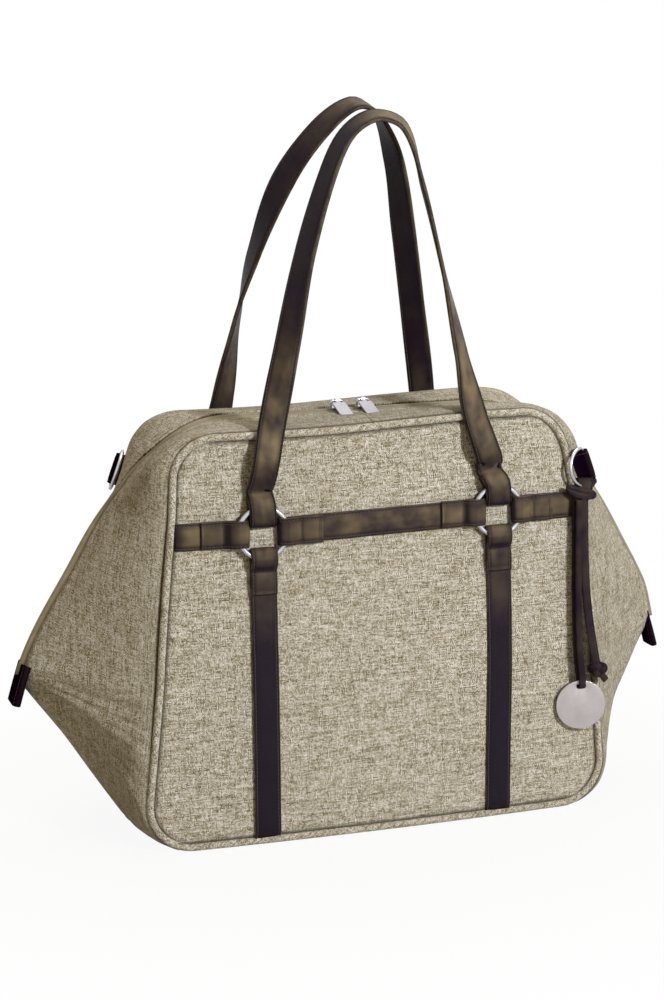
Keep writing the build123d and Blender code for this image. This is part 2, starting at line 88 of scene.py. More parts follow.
def smooth_line(points):
    """The curve that the route's points control, as a list of points, and the route's length."""
    curve = bpy.data.curves.new("route", "CURVE")
    curve.dimensions = "3D"
    curve.resolution_u = 12
    spline = curve.splines.new("NURBS")
    spline.points.add(len(points) - 1)
    for point, place in zip(spline.points, points):
        point.co = (*(c * MM for c in place), 1.0)
    spline.order_u = 3
    spline.use_endpoint_u = True
    holder = new_object("route", curve)
    mesh = bpy.data.meshes.new_from_object(holder)
    line = [v.co.copy() for v in mesh.vertices]
    bpy.data.objects.remove(holder)
    bpy.data.meshes.remove(mesh)
    length = sum((b - a).length for a, b in zip(line, line[1:]))
    return line, length


def built(name, bm, smooth=True, outward=None):
    """Object with the finished mesh, its faces turned out."""
    for face in bm.faces if smooth else ():
        face.smooth = True
    bmesh.ops.recalc_face_normals(bm, faces=bm.faces)
    if outward is not None and sum(f.normal.dot(outward) * f.calc_area() for f in bm.faces) < 0:
        bmesh.ops.reverse_faces(bm, faces=bm.faces)
    mesh = bpy.data.meshes.new(name)
    bm.to_mesh(mesh)
    bm.free()
    return new_object(name, mesh)


def fit_out(piece, material, slot, body, *nodes):
    """Give a piece its material and body, and the part's nodes that it stands in for."""
    piece.data.materials.append(material)
    if body:
        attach(piece, body)
    if nodes:
        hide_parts(*nodes)


def lattice(name, columns, rows, place, cloth_uv, outward=None, close_ends=False, seam_shade=None):
    """Grid of cells moved corner by corner to place(u, v) in mm; its UVs are in metres.
    The last argument gives how deep each spot lies in a sewn groove, and the canvas is painted
    darker there as shade."""
    bm = bmesh.new()
    uv_layer = bm.loops.layers.uv.new("cloth")
    groove = bm.verts.layers.float.new("seam_shade")
    bmesh.ops.create_grid(bm, x_segments=columns, y_segments=rows, size=0.5)
    spots = {v: (v.co.x + 0.5, v.co.y + 0.5) for v in bm.verts}
    for face in bm.faces:
        face.smooth = True
        for loop in face.loops:
            a, b = cloth_uv(*spots[loop.vert])
            loop[uv_layer].uv = (a * MM, b * MM)
    for v, (a, b) in spots.items():
        v.co = Vector(place(a, b)) * MM
        if seam_shade:
            v[groove] = seam_shade(a, b)
    bmesh.ops.remove_doubles(bm, verts=bm.verts, dist=2e-6)
    bmesh.ops.dissolve_degenerate(bm, edges=bm.edges, dist=1e-6)
    if close_ends:
        bmesh.ops.holes_fill(bm, edges=[e for e in bm.edges if e.is_boundary], sides=0)
    return built(name, bm, False, outward)


def between(points, share):
    """Point at a share of the way along a list of evenly spread points."""
    spot = share * (len(points) - 1)
    k = min(int(spot), len(points) - 2)
    return points[k].lerp(points[k + 1], spot - k)


def along_line(points, share):
    ahead, behind = min(share + 0.004, 1.0), max(share - 0.004, 0.0)
    return (between(points, ahead) - between(points, behind)).normalized()


def put(socket, value):
    """Set a socket to a value or another node's output; None leaves it as it is."""
    value = getattr(value, "socket", value)
    if isinstance(value, bpy.types.NodeSocket):
        socket.id_data.links.new(value, socket)
    elif value is not None:
        socket.default_value = value


def add(tree, kind, *inputs, **settings):
    """New shader node, its first sockets given in their order."""
    made = tree.nodes.new(f"ShaderNode{kind}")
    for key, value in settings.items():
        setattr(made, key, value)
    for socket, value in zip(made.inputs, inputs):
        put(socket, value)
    return made


def mixed(tree, share, a, b):
    """Colour between a and b."""
    made = add(tree, "Mix", data_type="RGBA")
    for k, value in ((0, share), (6, a), (7, b)):
        put(made.inputs[k], (*value, 1.0) if isinstance(value, tuple) else value)
    return Signal(tree, made.outputs[2])


class Signal:
    """Output of a shader node. Whatever is reckoned from it adds the nodes for that."""

    def __init__(self, tree, socket):
        self.tree, self.socket = tree, socket

    def into(self, kind, *inputs, output=0, **settings):
        """Output of a new node that has this as its first input."""
        return Signal(self.tree, add(self.tree, kind, self, *inputs, **settings).outputs[output])

    def math(self, operation, other=None):
        return self.into("Math", other, operation=operation)

    def __add__(self, other):
        return self.math("ADD", other)

    def __sub__(self, other):
        return self.math("SUBTRACT", other)

    def __mul__(self, other):
        return self.math("MULTIPLY", other)

    def __truediv__(self, other):
        return self.math("DIVIDE", other)

    def spread(self, low, high, to_low=0.0, to_high=1.0):
        return self.into("MapRange", low, high, to_low, to_high)

    def noise(self, scale, detail=2.0, roughness=0.5):
        return self.into("TexNoise", None, scale, detail, roughness)

    def parts(self):
        split = add(self.tree, "SeparateXYZ", self)
        return [Signal(self.tree, socket) for socket in split.outputs]

    def mix(self, a, b):
        return mixed(self.tree, self, a, b)


def source(tree, kind, output, **settings):
    """Output of a new node that needs no input."""
    return Signal(tree, add(tree, kind, **settings).outputs[output])


def new_material(name):
    """Material, its surface shader, and its Object and UV coordinates."""
    material = bpy.data.materials.new(name)
    material.use_nodes = True
    tree = material.node_tree
    return (material, tree.nodes["Principled BSDF"], source(tree, "TexCoord", "Object"),
            source(tree, "TexCoord", "UV"))


def set_sockets(shader, **values):
    """Set the shader's sockets by name; _ stands for a space."""
    for name, value in values.items():
        put(shader.inputs[name.replace("_", " ")], value)


def raise_by(shader, height, distance, strength):
    """Relief of the given depth in metres."""
    bump = add(shader.id_data, "Bump", strength, distance)
    put(bump.inputs["Height"], height)
    put(shader.inputs["Normal"], bump.outputs[0])


def thong_leather():
    material, shader, where, uv = new_material("thong_leather")
    fibres = uv.into("Mapping", None, None, (90, 900, 1)).noise(1.0, 3.0, 0.6)
    blotch = where.noise(60, 2.0).spread(0.35, 0.65)
    set_sockets(shader, Base_Color=blotch.mix((0.012, 0.006, 0.012), (0.030, 0.019, 0.017)),
                Specular_IOR_Level=0.08, Roughness=fibres.spread(0.3, 0.7, 0.42, 0.62))
    raise_by(shader, fibres, 0.00025, 0.6)
    return material


thong = thong_leather()


def strand(sign):
    """One of the lace's two strands, front (-1) or back (1), down to its turn in the slot."""
    apart = strand_apart / 2
    return [(x, y + sign * apart, z) for x, y, z in medal_route] + [
        (slot_x, slot_y + sign * (apart - inward), z) for inward, z in slot_turn]


loop_line, loop_length = smooth_line(strand(-1) + strand(1)[::-1])


def looped_lace(name, line):
    """The strip keeps its width across the bag while it turns through the medallion."""
    half_w, half_t, corner = lace_width / 2, lace_thick / 2, 0.45
    edge = [(half_w - corner, -half_t), (half_w, -half_t + corner), (half_w, half_t - corner),
            (half_w - corner, half_t), (0, half_t + 0.08)]
    ring = edge + [(-a, -b) for a, b in edge]
    ring = ring + ring[:1]
    across = Vector((1.0, 0.0, 0.0))

    def place(u, v):
        here, way = between(line, u) / MM, along_line(line, u)
        out = way.cross(across).normalized()
        side = out.cross(way)
        a, b = ring[round(v * (len(ring) - 1))]
        return here + side * a + out * b

    return lattice(name, 240, len(ring) - 1, place,
                   lambda u, v: (u * 300, v * 2 * lace_width), close_ends=True)


charm_lace = looped_lace("charm_lace_strip", loop_line)
fit_out(charm_lace, thong, "lace", "charm", "charm_lace")

for label, shift in (("front", -tail_apart / 2), ("back", tail_apart / 2)):
    tail_line, tail_length = smooth_line([(x + shift, y + shift, z) for x, y, z in tail_route])
    tail = looped_lace(f"charm_tail_{label}_strip", tail_line)
    fit_out(tail, thong, "lace", "charm", f"charm_tail_{label}")

# ------------------------------------------------------------------------------------------
# Knot: both tails tied together in one overhand knot, with short cut ends below it.
knot_centre = Vector((187.6, -80.5, 119.5))


def knotted(u, v):
    t = 2 * pi * u

    def middle(s):
        return Vector(((sin(s) + 1.9 * sin(2 * s)) * 2.0, (cos(s) - 1.9 * cos(2 * s)) * 1.45,
                       -sin(3 * s) * 2.3)).xzy

    here = middle(t)
    way = (middle(t + 0.01) - middle(t - 0.01)).normalized()
    side = way.cross(Vector((0.2, 1.0, 0.1))).normalized()
    out = side.cross(way)
    a = 2 * pi * v
    return knot_centre + here + side * (3.3 * cos(a)) + out * (2.5 * sin(a))


knot = lattice("knot", 110, 12, knotted, lambda u, v: (u * 70, v * 14))
knot_end_route = [(189.5, -81.0, 118.0), (192.0, -81.5, 113.5), (195.0, -82.0, 110.0)]
knot_end = looped_lace("knot_cut_end", smooth_line(knot_end_route)[0])
fit_out(knot, thong, "lace", "charm", "lace_knot")
fit_out(knot_end, thong, "lace", "charm")

# ------------------------------------------------------------------------------------------
# Studio: a wide pale floor that goes to white away from the bag, a lamp to the front right,
# weaker ones above and at the left, and a dim warm surround that looks white.
floor_span = 60000.0
floor = lattice("floor", 8, 8, lambda u, v: ((u - 0.5) * floor_span, (v - 0.5) * floor_span, 0),
                lambda u, v: (u, v), outward=Vector((0, 0, 1)))


def seen_share(tree):
    """1 where a ray comes from the camera, a reflection or a clear surface, and 0 elsewhere."""
    straight_on, mirrored, through = (source(tree, "LightPath", f"Is {kind} Ray")
                                      for kind in ("Camera", "Glossy", "Transmission"))
    return straight_on.math("MAXIMUM", mirrored.math("MAXIMUM", through))


def floor_finish():
    material, shader, where, _ = new_material("floor_finish")
    set_sockets(shader, Base_Color=(0.50, 0.48, 0.42, 1.0), Roughness=0.9)
    squashed = where.into("Mapping", None, None, (1.0, 1.35, 1.0))
    reach = squashed.into("VectorMath", operation="LENGTH", output="Value")
    tree = material.node_tree
    white = add(tree, "Emission", (1.0, 1.0, 1.0, 1.0), 1.0)
    share = seen_share(tree) * reach.spread(0.22, 0.62, 0.93, 1.0)
    mix = add(tree, "MixShader", share, shader.outputs[0], white.outputs[0])
    put(tree.nodes["Material Output"].inputs["Surface"], mix.outputs[0])
    return material


floor.data.materials.append(floor_finish())

world = bpy.data.worlds.new("surround")
bpy.context.scene.world = world
world.use_nodes = True
tree = world.node_tree
ambient = tree.nodes["Background"]
ambient.inputs[0].default_value = (1.0, 0.82, 0.46, 1.0)
ambient.inputs[1].default_value = 0.16
plain_white = add(tree, "Background", (1.0, 1.0, 1.0, 1.0), 1.0)
mix = add(tree, "MixShader", seen_share(tree), ambient.outputs[0], plain_white.outputs[0])
put(tree.nodes["World Output"].inputs["Surface"], mix.outputs[0])

for label, place, size, power, tint in (
        ("key_lamp", (1.30, -2.80, 1.60), 0.50, 111.0, (0.92, 0.96, 1.0)),
        ("top_lamp", (0.2, 0.3, 2.6), 1.6, 36.0, (1.0, 0.97, 0.92)),
        ("left_fill", (-2.6, -1.2, 0.9), 1.6, 5.0, (1.0, 0.68, 0.22))):
    lamp_data = bpy.data.lights.new(label, "AREA")
    lamp_data.shape = "DISK"
    lamp_data.size = size
    lamp_data.energy = power
    lamp_data.color = tint
    aim(new_object(label, lamp_data), place, Vector((0, 0, 0.2)))

# ------------------------------------------------------------------------------------------
# Front and back panels: one padded piece of melange canvas each, taut over foam, that leans
# in towards the top and dips into the seam beside its piping.
base_half_width, top_half_width, body_height = 203.0, 166.0, 334.0
base_corner_r, top_corner_r, side_bow = 38.0, 40.0, 1.5
ridge_height, ridge_corner, ridge_corner_r, ridge_bow = 339.0, 160.0, 110.0, 10.0
wing_reach, wing_height, crease_foot, crease_foot_r = 282.0, 137.0, 191.0, 28.0
half_depth, foot_rise, lean = 78.0, 0.4, atan(0.06)
panel_crown, crown_reach, crown_middle = 6.0, 190.0, 167.0
crown_r = (crown_reach**2 + panel_crown**2) / (2 * panel_crown)
piping_width = 6.0


def on_face(x, v, w):
    """Point x across, v up along the front face, w out from its flat plane."""
    return Vector((x, -half_depth + v * sin(lean) - w * cos(lean),
                   foot_rise + v * cos(lean) + w * sin(lean)))


def swell(x, v):
    return panel_crown - crown_r + sqrt(crown_r**2 - x**2 - (v - crown_middle) ** 2)


def rounded(corner, before, after, radius):
    """Start, middle and end of the arc that rounds a corner."""
    b, a = (before - corner) / abs(before - corner), (after - corner) / abs(after - corner)
    half = (pi - abs(turn_from(-b, a))) / 2
    middle = (a + b) / abs(a + b)
    reach = radius / tan(half)
    return (corner + b * reach, corner + middle * (radius / sin(half) - radius),
            corner + a * reach)


def turn_from(a, b):
    turn = b / a
    return (pi / 2 - atan(turn.real / turn.imag) if turn.imag > 0 else
            -pi / 2 - atan(turn.real / turn.imag)) if turn.imag else (0 if turn.real > 0 else pi)


def arc(a, b, c):
    """Function from 0 to 1 along the arc through three points."""
    w = (c - a) / (b - a)
    centre = -((a - b) * (w - abs(w) ** 2) / 2j / w.imag - a)
    sweep = turn_from(a - centre, b - centre) + turn_from(b - centre, c - centre)
    return lambda t: centre + (a - centre) * complex(cos(sweep * t), sin(sweep * t))


def straight(a, b):
    return lambda t: a + (b - a) * t


def bowed(a, b, bow):
    return (a + b) / 2 + (b - a) / abs(b - a) * -1j * bow


def half_corners(foot, foot_r, tip, shoulder, shoulder_r, bow):
    """The points that one half of an outline is drawn through, from the base to the top."""
    b, bm, s = rounded(foot, 0j, tip, foot_r)
    u, cm, x = rounded(shoulder, tip, complex(0, shoulder.imag), shoulder_r)
    return [b, bm, s, tip, bowed(tip, u, bow), u, cm, x]


face_foot, face_top = complex(base_half_width, 0), complex(top_half_width, body_height)
beside_tip = face_foot + (face_top - face_foot) * (wing_height / body_height)
face_corners = half_corners(face_foot, base_corner_r, beside_tip, face_top, top_corner_r, side_bow)
ridge_corners = half_corners(complex(crease_foot, 0), crease_foot_r,
                             complex(wing_reach, wing_height),
                             complex(ridge_corner, ridge_height), ridge_corner_r, ridge_bow)


def moved_in(points, inset):
    chain = [complex(-points[0].real, points[0].imag), *points,
             complex(-points[-1].real, points[-1].imag)]
    moved = []
    for before, here, after in zip(chain, chain[1:], chain[2:]):
        n1 = (here - before) / abs(here - before) * 1j
        n2 = (after - here) / abs(after - here) * 1j
        normal = (n1 + n2) / abs(n1 + n2)
        share = (normal * n1.conjugate()).real
        moved.append(here + normal * (inset / max(share, 0.5)))
    return moved


def half_outline(points, inset):
    """Function of s: 0-1 lower corner, 1-2 to the wing, 2-3 up the side, 3-4 upper corner,
    4-5 along the top to the middle."""
    b, bm, s, t, rm, u, cm, x = moved_in(points, inset)
    runs = [arc(b, bm, s), straight(s, t), arc(t, rm, u), arc(u, cm, x),
            straight(x, complex(0, x.imag))]
    return lambda at: runs[min(int(at), 4)](at - min(int(at), 4))


def running_lengths(points, measure=abs):
    lengths = [0.0]
    for a, b in zip(points, points[1:]):
        lengths.append(lengths[-1] + measure(b - a))
    return lengths


def clipped(t):
    return min(max(t, 0.0), 1.0)


def eased(t):
    t = clipped(t)
    return t * t * (3 - 2 * t)


def hump(t):
    return max(1 - t * t, 0.0) ** 2


def looked_up(keys, values, key):
    """Value at a key that lies between two of the sorted keys."""
    k = min(max(bisect_left(keys, key), 1), len(keys) - 1)
    part = clipped((key - keys[k - 1]) / max(keys[k] - keys[k - 1], 1e-9))
    return values[k - 1] + (values[k] - values[k - 1]) * part


panel_half = half_outline(face_corners, piping_width - 1.6)
panel_side = [panel_half(4 * k / 300) for k in range(301)]
panel_heights = [p.imag for p in panel_side]
panel_widths = [p.real for p in panel_side]
panel_low, panel_high = panel_heights[0], panel_heights[-1]


def panel_half_width(v):
    return looked_up(panel_heights, panel_widths, v)


def soft_fold(x, v, x0, v0, x1, v1, width, depth):
    """Height of one soft fold or hollow, along a line across the cloth."""
    dx, dv = x1 - x0, v1 - v0
    share = ((x - x0) * dx + (v - v0) * dv) / (dx * dx + dv * dv)
    off = hypot(x - x0 - dx * share, v - v0 - dv * share)
    fade = exp(-((share - 0.5) / 0.42) ** 4)
    return depth * fade * exp(-(off / width) ** 2)


front_folds = [(-150, 300, -126, 205, 11, -1.3), (-168, 262, -120, 250, 8, -0.7),
               (118, 40, 168, 96, 9, -0.9), (142, 22, 176, 60, 7, 0.8),
               (-120, 190, -60, 128, 14, -0.8), (20, 60, 80, 30, 12, -0.7),
               (-20, 205, 60, 176, 13, -0.6), (-172, 60, -130, 24, 9, -0.8)]
front_seed = 1.7
back_folds = [(-140, 290, -118, 190, 12, -1.0), (110, 50, 165, 100, 10, -0.9),
              (-40, 200, 70, 170, 14, -0.7), (120, 230, 160, 290, 10, -0.8)]


def cloth_height(x, v, folds, seed):
    """Height of the padded cloth above the swelling face, its seam dip and folds included."""
    side = max(panel_half_width(v) - abs(x), 0.05)
    level = max(min(v - panel_low, panel_high - v), 0.05)
    inside = (side**-3 + level**-3) ** (-1 / 3)
    dip = -3.0 * exp(-(inside / 3.2) ** 1.2) + 0.5 * exp(-((inside - 9) / 5) ** 2)
    calm = 1 - exp(-(inside / 18) ** 2)
    waves = 1.0 * noise.noise(Vector((x / 62, v / 78, seed)))
    waves += 0.42 * noise.noise(Vector((x / 24 + 7, v / 31, seed)))
    waves += 0.16 * noise.noise(Vector((x / 9, v / 9 + 3, seed)))
    waves += sum(soft_fold(x, v, *fold) for fold in folds)
    return swell(x, v) + dip + calm * (waves - 0.35)


def to_back(p):
    return Vector((p[0], -p[1], p[2]))


def settled(p, back=False):
    """How the stuffed bag stands: its top leans a little left and is pushed up at the right.
    With back, the point is first taken from the front to the back."""
    if back:
        p = to_back(p)
    top, right = eased((p[2] - 258.0) / 70.0), eased((p[0] + 70.0) / 190.0)
    away = clipped((abs(p[1]) - 8.0) / 30.0)
    belly = hump((p[2] - 150.0) / 110.0) * clipped((p[0] - 60.0) / 110.0)
    return Vector((p[0] - 4.0 * top * min(abs(p[1]) / 30.0, 1.0) + 4.0 * belly, p[1],
                   p[2] + 6.0 * top * right * away))


def melange_canvas(name, painted_shade):
    """Plain weave of light weft over olive-brown warp, uneven yarns, on the piece's own UVs. The
    second argument darkens the whole cloth towards olive, as painted shade on a copy of the same
    canvas; the yarns' edges and the sewn grooves are painted darker as shade.
    """
    material, shader, where, uv = new_material(name)
    tree = material.node_tree
    wander = uv.into("TexNoise", None, 120.0, 2.0, output="Color")
    shift = wander.into("VectorMath", (0.5, 0.5, 0.5), operation="SUBTRACT")
    shift = shift.into("VectorMath", None, None, 0.0008, operation="SCALE")
    across, along, _ = uv.into("VectorMath", shift, operation="ADD").parts()
    yarn = 0.00094
    warp_at, weft_at = across / yarn, along / yarn
    warp_no, weft_no = warp_at.math("FLOOR"), weft_at.math("FLOOR")

    def streaks(number, run, pace, seed, low, high):
        """Slubs: shade that changes slowly along one yarn and freely from yarn to yarn."""
        yarn_spot = (number * 5.37).into("CombineXYZ", run * pace, seed)
        return yarn_spot.noise(1.0, 3.0, 0.75).spread(0.30, 0.70, low, high)

    warp = streaks(warp_no, weft_at, 0.075, 0.0, 0.02, 0.90)
    weft = streaks(weft_no, warp_at, 0.045, 40.0, -0.06, 1.14)
    over = (warp_no + weft_no).math("PINGPONG", 1.0)
    fleck = warp_no.into("CombineXYZ", weft_no, 3.5).into("TexWhiteNoise", noise_dimensions="3D")
    shade = over.into("Mix", None, warp, weft) + fleck.spread(0.0, 1.0, -0.26, 0.26)
    ramp = add(tree, "ValToRGB", shade)
    steps = ramp.color_ramp.elements
    steps[0].position, steps[0].color = 0.02, (0.100, 0.074, 0.034, 1)
    steps[1].position, steps[1].color = 0.98, (0.82, 0.78, 0.735, 1)
    for position, colour in ((0.25, (0.25, 0.205, 0.125)), (0.50, (0.46, 0.405, 0.31)),
                             (0.75, (0.65, 0.605, 0.535))):
        steps.new(position).color = (*colour, 1)
    cloudy = where.noise(26, 3.0).spread(0.3, 0.7, 0.0, 0.12)
    colour = cloudy.mix(ramp.outputs[0], (0.36, 0.31, 0.21))
    crown = over.into("Mix", None, warp_at.math("PINGPONG", 0.5), weft_at.math("PINGPONG", 0.5))
    # Painted shade: each yarn is darkened towards its edges, in the gaps of the weave.
    colour = crown.spread(0.0, 0.26, 0.35, 0.0).mix(colour, (0.085, 0.065, 0.034))
    # Painted shade: the second argument mixes the whole cloth towards a dark olive, for a shaded
    # copy of the canvas.
    colour = mixed(tree, painted_shade, colour, (0.105, 0.072, 0.004))
    # Painted shade: the cloth is darkened in the sewn grooves along the piping, by the groove
    # depth that lattice stores on the mesh.
    groove = source(tree, "Attribute", "Fac", attribute_name="seam_shade")
    colour = (groove * 0.80).mix(colour, (0.060, 0.045, 0.022))
    set_sockets(shader, Base_Color=colour, Roughness=0.92, Specular_IOR_Level=0.15,
                Sheen_Weight=0.10, Sheen_Roughness=0.6)
    raise_by(shader, crown + shade * 0.35, 0.0006, 0.7)
    return material


canvas = melange_canvas("melange_canvas", 0.0)
# The gussets get a darker copy of the same canvas: painted shade.
side_canvas_painted_shade = melange_canvas("side_canvas_painted_shade", 0.24)


def thicken(piece, depth):
    """Give a cloth shell its thickness, inwards."""
    wall = piece.modifiers.new("thickness", "SOLIDIFY")
    wall.thickness = depth * MM
    wall.offset = -1.0
    wall.use_even_offset = False
    bpy.context.view_layer.objects.active = piece
    with bpy.context.temp_override(object=piece, active_object=piece):
        bpy.ops.object.modifier_apply(modifier=wall.name)


def panel(name, folds, seed, back, node):
    def spot(u, v):
        height = panel_low + (panel_high - panel_low) * v
        return (2 * u - 1) * panel_half_width(height), height

    # How deep a spot lies in the groove beside the piping, for the painted shade there.
    def groove(u, v):
        x, height = spot(u, v)
        inside = min(panel_half_width(height) - abs(x), height - panel_low, panel_high - height)
        return 1 - clipped((inside - 2.3) / 1.6)

    def place(u, v):
        x, height = spot(u, v)
        return settled(on_face(x, height, cloth_height(x, height, folds, seed)), back)

    piece = lattice(name, 150, 132, place, spot, Vector((0, 1 if back else -1, 0)), seam_shade=groove)
    thicken(piece, 2.2)
    fit_out(piece, canvas, "melange_fabric", "root", node)


panel("front_canvas", front_folds, front_seed, False, "front_panel")
panel("back_canvas", back_folds, 9.2, True, "back_panel")

# ------------------------------------------------------------------------------------------
# Piping: a cord covered with a bias-cut strip of the same canvas, sewn round each face
# between its panel and the gussets.
right_track = half_outline(face_corners, piping_width / 2)
right_points = [right_track(k / 80) for k in range(401)]
base_middle = [complex(0, right_points[0].imag)]
piping_points = (base_middle + right_points
                 + [complex(-p.real, p.imag) for p in right_points[-2::-1]] + base_middle)
piping_runs = running_lengths(piping_points)
girth = piping_runs[-1]
piping_r, strip_width = 2.95, 19


def round_face(share):
    """Point at a share of the way round the face, from the middle of its base."""
    return looked_up(piping_runs, piping_points, share * girth)


def piping(name, back, node):
    def place(u, v):
        p = round_face(u)
        ahead, behind = round_face((u + 0.0015) % 1.0), round_face((u - 0.0015) % 1.0)
        out = (ahead - behind) / abs(ahead - behind) * -1j
        turn = 2 * pi * v
        lump = piping_r + 0.1 * noise.noise(Vector((girth * u / 15, 3.1, 0.4)))
        across, up = lump * cos(turn), lump * sin(turn)
        q = p + out * across
        return settled(on_face(q.real, q.imag, swell(p.real, p.imag) - 1.0 + up), back)

    def bias_uv(u, v):
        return (girth * u * 0.8 + strip_width * v * 0.7, strip_width * v * 0.7 - girth * u * 0.55)

    piece = lattice(name, 560, 14, place, bias_uv)
    fit_out(piece, canvas, "melange_fabric", "root", node)


piping("front_piping_cord", False, "front_piping")
piping("back_piping_cord", True, "back_piping")

# ------------------------------------------------------------------------------------------
# Gussets: four pieces of lined canvas, from the piping out to the wing's zipper and along the
# top to the zipper that opens the mouth. Soft folds fan out from each wing tip.
gusset_inset, tape_drop = 1.0, 4.5
mouth_start, mouth_end = 85.0, 42.0
face_half, ridge_half = (half_outline(corners, gusset_inset)
                         for corners in (face_corners, ridge_corners))
face_runs, ridge_runs = (running_lengths([outline(k / 40) for k in range(201)])
                         for outline in (face_half, ridge_half))


def run_length(starts, s):
    k = min(int(s * 40), 199)
    return starts[k] + (starts[k + 1] - starts[k]) * (s * 40 - k)


def way_out(outline, s):
    step = outline(min(s + 0.01, 5.0)) - outline(max(s - 0.01, 0.0))
    return step / abs(step) * -1j


def wing_give(s, side):
    """How far the stuffed wing pushes its ridge out."""
    if side == "left":
        return 4.5 * hump((s - 2.0) / 0.5) + 5.0 * hump((s - 2.95) / 0.45) + 1.5
    return (4.0 * hump((s - 2.9) / 0.5) - 2.5 * hump((s - 2.35) / 0.5)
            - 6.0 * hump((s - 1.93) / 0.3))


def tape_half(s):
    """Width of tape that shows on each side of the slit."""
    return 5.5 + 8.5 * eased((s - 3.1) / 1.0)


@lru_cache(maxsize=None)
def side_curve(s, side, half):
    """The cloth's section at s: from the piping, over a soft shoulder, to the zipper or crease."""
    f, r = face_half(s), ridge_half(s)
    n, m = way_out(face_half, s), way_out(ridge_half, s)
    r += wing_give(s, side) * eased(s / 0.8) * eased((4.6 - s) / 0.8)
    r += m * (2.3 * hump((s - 1.1) / 0.85))
    start = on_face(f.real, f.imag, -2.6)
    out = Vector((n.real, n.imag * sin(lean), n.imag * cos(lean)))
    ridge, m = Vector((r.real, 0.0, foot_rise + r.imag)), Vector((m.real, 0.0, m.imag))
    joined = eased((s - 1.93) / 0.10)
    edge = ridge.lerp(start, tape_half(s) / -start.y * joined)
    edge += m * max((ridge - edge).dot(m) - tape_drop, 0.0) * joined
    way = (edge - start).normalized()
    normal = (out - way * out.dot(way)).normalized()
    side_share = eased((s - 0.1) / 1.1) * (1 - eased((s - 3.1) / 0.9))
    if (side, half) == ("left", "back"):
        side_share *= 1 - 0.60 * hump((s - 3.0) / 0.75)
    shoulder, belly = 4.5 + 14.5 * side_share, 1.2 + 6.0 * side_share
    one = start + out * shoulder + Vector((0, 2.0, 0))
    two = edge.lerp(start, 0.38) + normal * belly
    return start, one, two, edge, ridge, m


def bare_side(s, q, side, half):
    a, b, c, d, *_ = side_curve(s, side, half)
    p = 1 - q
    return a * p**3 + b * (3 * p * p * q) + c * (3 * p * q * q) + d * q**3


def side_normal(s, q, side, half):
    ds, dq = 0.012, 0.015
    along = (bare_side(min(s + ds, 5.0), q, side, half)
             - bare_side(max(s - ds, 0.0), q, side, half))
    across = (bare_side(s, min(q + dq, 1.0), side, half)
              - bare_side(s, max(q - dq, 0.0), side, half))
    return across.cross(along).normalized()


def fold_waves(p, s, seed):
    """Soft folds that fan out from the wing tip, over broad and fine unevenness."""
    off = p - Vector((wing_reach + 4.0, 0.0, wing_height + 6.0))
    reach = off.length
    turn = (off.z * 2.2 + abs(off.y) * 1.6) / reach
    ridges = noise.noise(Vector((turn * 2.9 + seed, reach / 150, seed)))
    ridges += 0.55 * noise.noise(Vector((turn * 6.5 + seed, reach / 70, seed + 4)))
    near = exp(-(reach / 150) ** 2) * min(reach / 30, 1.0)
    broad = noise.noise(Vector((p.x / 44 + seed, p.y / 36, p.z / 50)))
    fine = noise.noise(Vector((p.x / 16 + seed, p.y / 14, p.z / 18)))
    still = min(max((4.2 - s) / 0.7, 0.2), 1.0)
    return (4.4 * ridges * near + 1.6 * broad + 0.5 * fine) * still


def side_point(s, q, side, half, depth=0.0, seed=0.0, folds=1.0):
    edge = eased(q / 0.2) * eased((1.0 - q) / 0.16)
    p, normal = bare_side(s, q, side, half), side_normal(s, q, side, half)
    p += normal * (folds * edge * fold_waves(p, s, seed) - depth)
    p.z = max(p.z, 0.7 + depth * 0.5)
    return p


def placed(p, left, back):
    return settled(Vector((-p[0] if left else p[0], -p[1] if back else p[1], p[2])))


def open_with_mouth(piece, side):
    turn = -1 if side == "left" else 1
    turn * mouth_start * MM
    turn * mouth_end * MM
    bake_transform(piece)


def gusset(side, half, seed):
    left, back = side == "left", half == "back"
    first = 0.2

    def spot(u, v):
        return first + (5.0 - first) * u, v * (0.55 + 0.45 * v)

    def place(u, v):
        s, q = spot(u, v)
        if v < 0.02:
            f = face_half(s) - way_out(face_half, s) * 2.2
            return placed(on_face(f.real, f.imag, -3.2), left, back)
        hem = 0.9 * exp(-((v - 0.985) / 0.022) ** 2) * eased((s - 2.0) / 0.1)
        return placed(side_point(s, q, side, half, -hem, seed), left, back)

    def cloth_uv(u, v):
        s, q = spot(u, v)
        a, _, _, d, *_ = side_curve(s, side, half)
        near, far = run_length(face_runs, s), run_length(ridge_runs, s)
        long = near + (far - near) * q - (face_runs[-1] + (ridge_runs[-1] - face_runs[-1]) * q)
        wide = q * (d - a).length * 1.04 + (300 if back else 0)
        return (long if left else -long), wide

    # How deep a spot lies in the groove beside the piping, for the painted shade there.
    def groove(u, v):
        s, q = spot(u, v)
        a, b, *_ = side_curve(s, side, half)
        return 1 - eased((q * 3 * (b - a).length - 1.2) / 1.8)

    piece = lattice(f"gusset_{side}_{half}", 230, 54, place, cloth_uv,
                    outward=Vector((-1 if left else 1, 1.2 if back else -1.2, 0.5)), seam_shade=groove)
    thicken(piece, 1.6)
    open_with_mouth(piece, side)
    fit_out(piece, side_canvas_painted_shade, "melange_fabric", None, f"side_gusset_{side}_{half}",
            f"top_flap_{half}")


for side, half, seed in (("left", "front", 2.3), ("right", "front", 5.1),
                         ("left", "back", 7.7), ("right", "back", 12.4)):
    gusset(side, half, seed)

# ------------------------------------------------------------------------------------------
# Zipper: smooth khaki tape with a hidden coil, from wing tip to wing tip along the ridge. The
# two tapes meet edge to edge, each folded over its half of the coil.
tape_depth = 1.0


def plain_weave(uv, warp, weft):
    """Height of a fine even weave, its yarns given in metres."""
    across, along, _ = uv.parts()
    return (across / warp).math("PINGPONG", 0.5) + (along / weft).math("PINGPONG", 0.5)


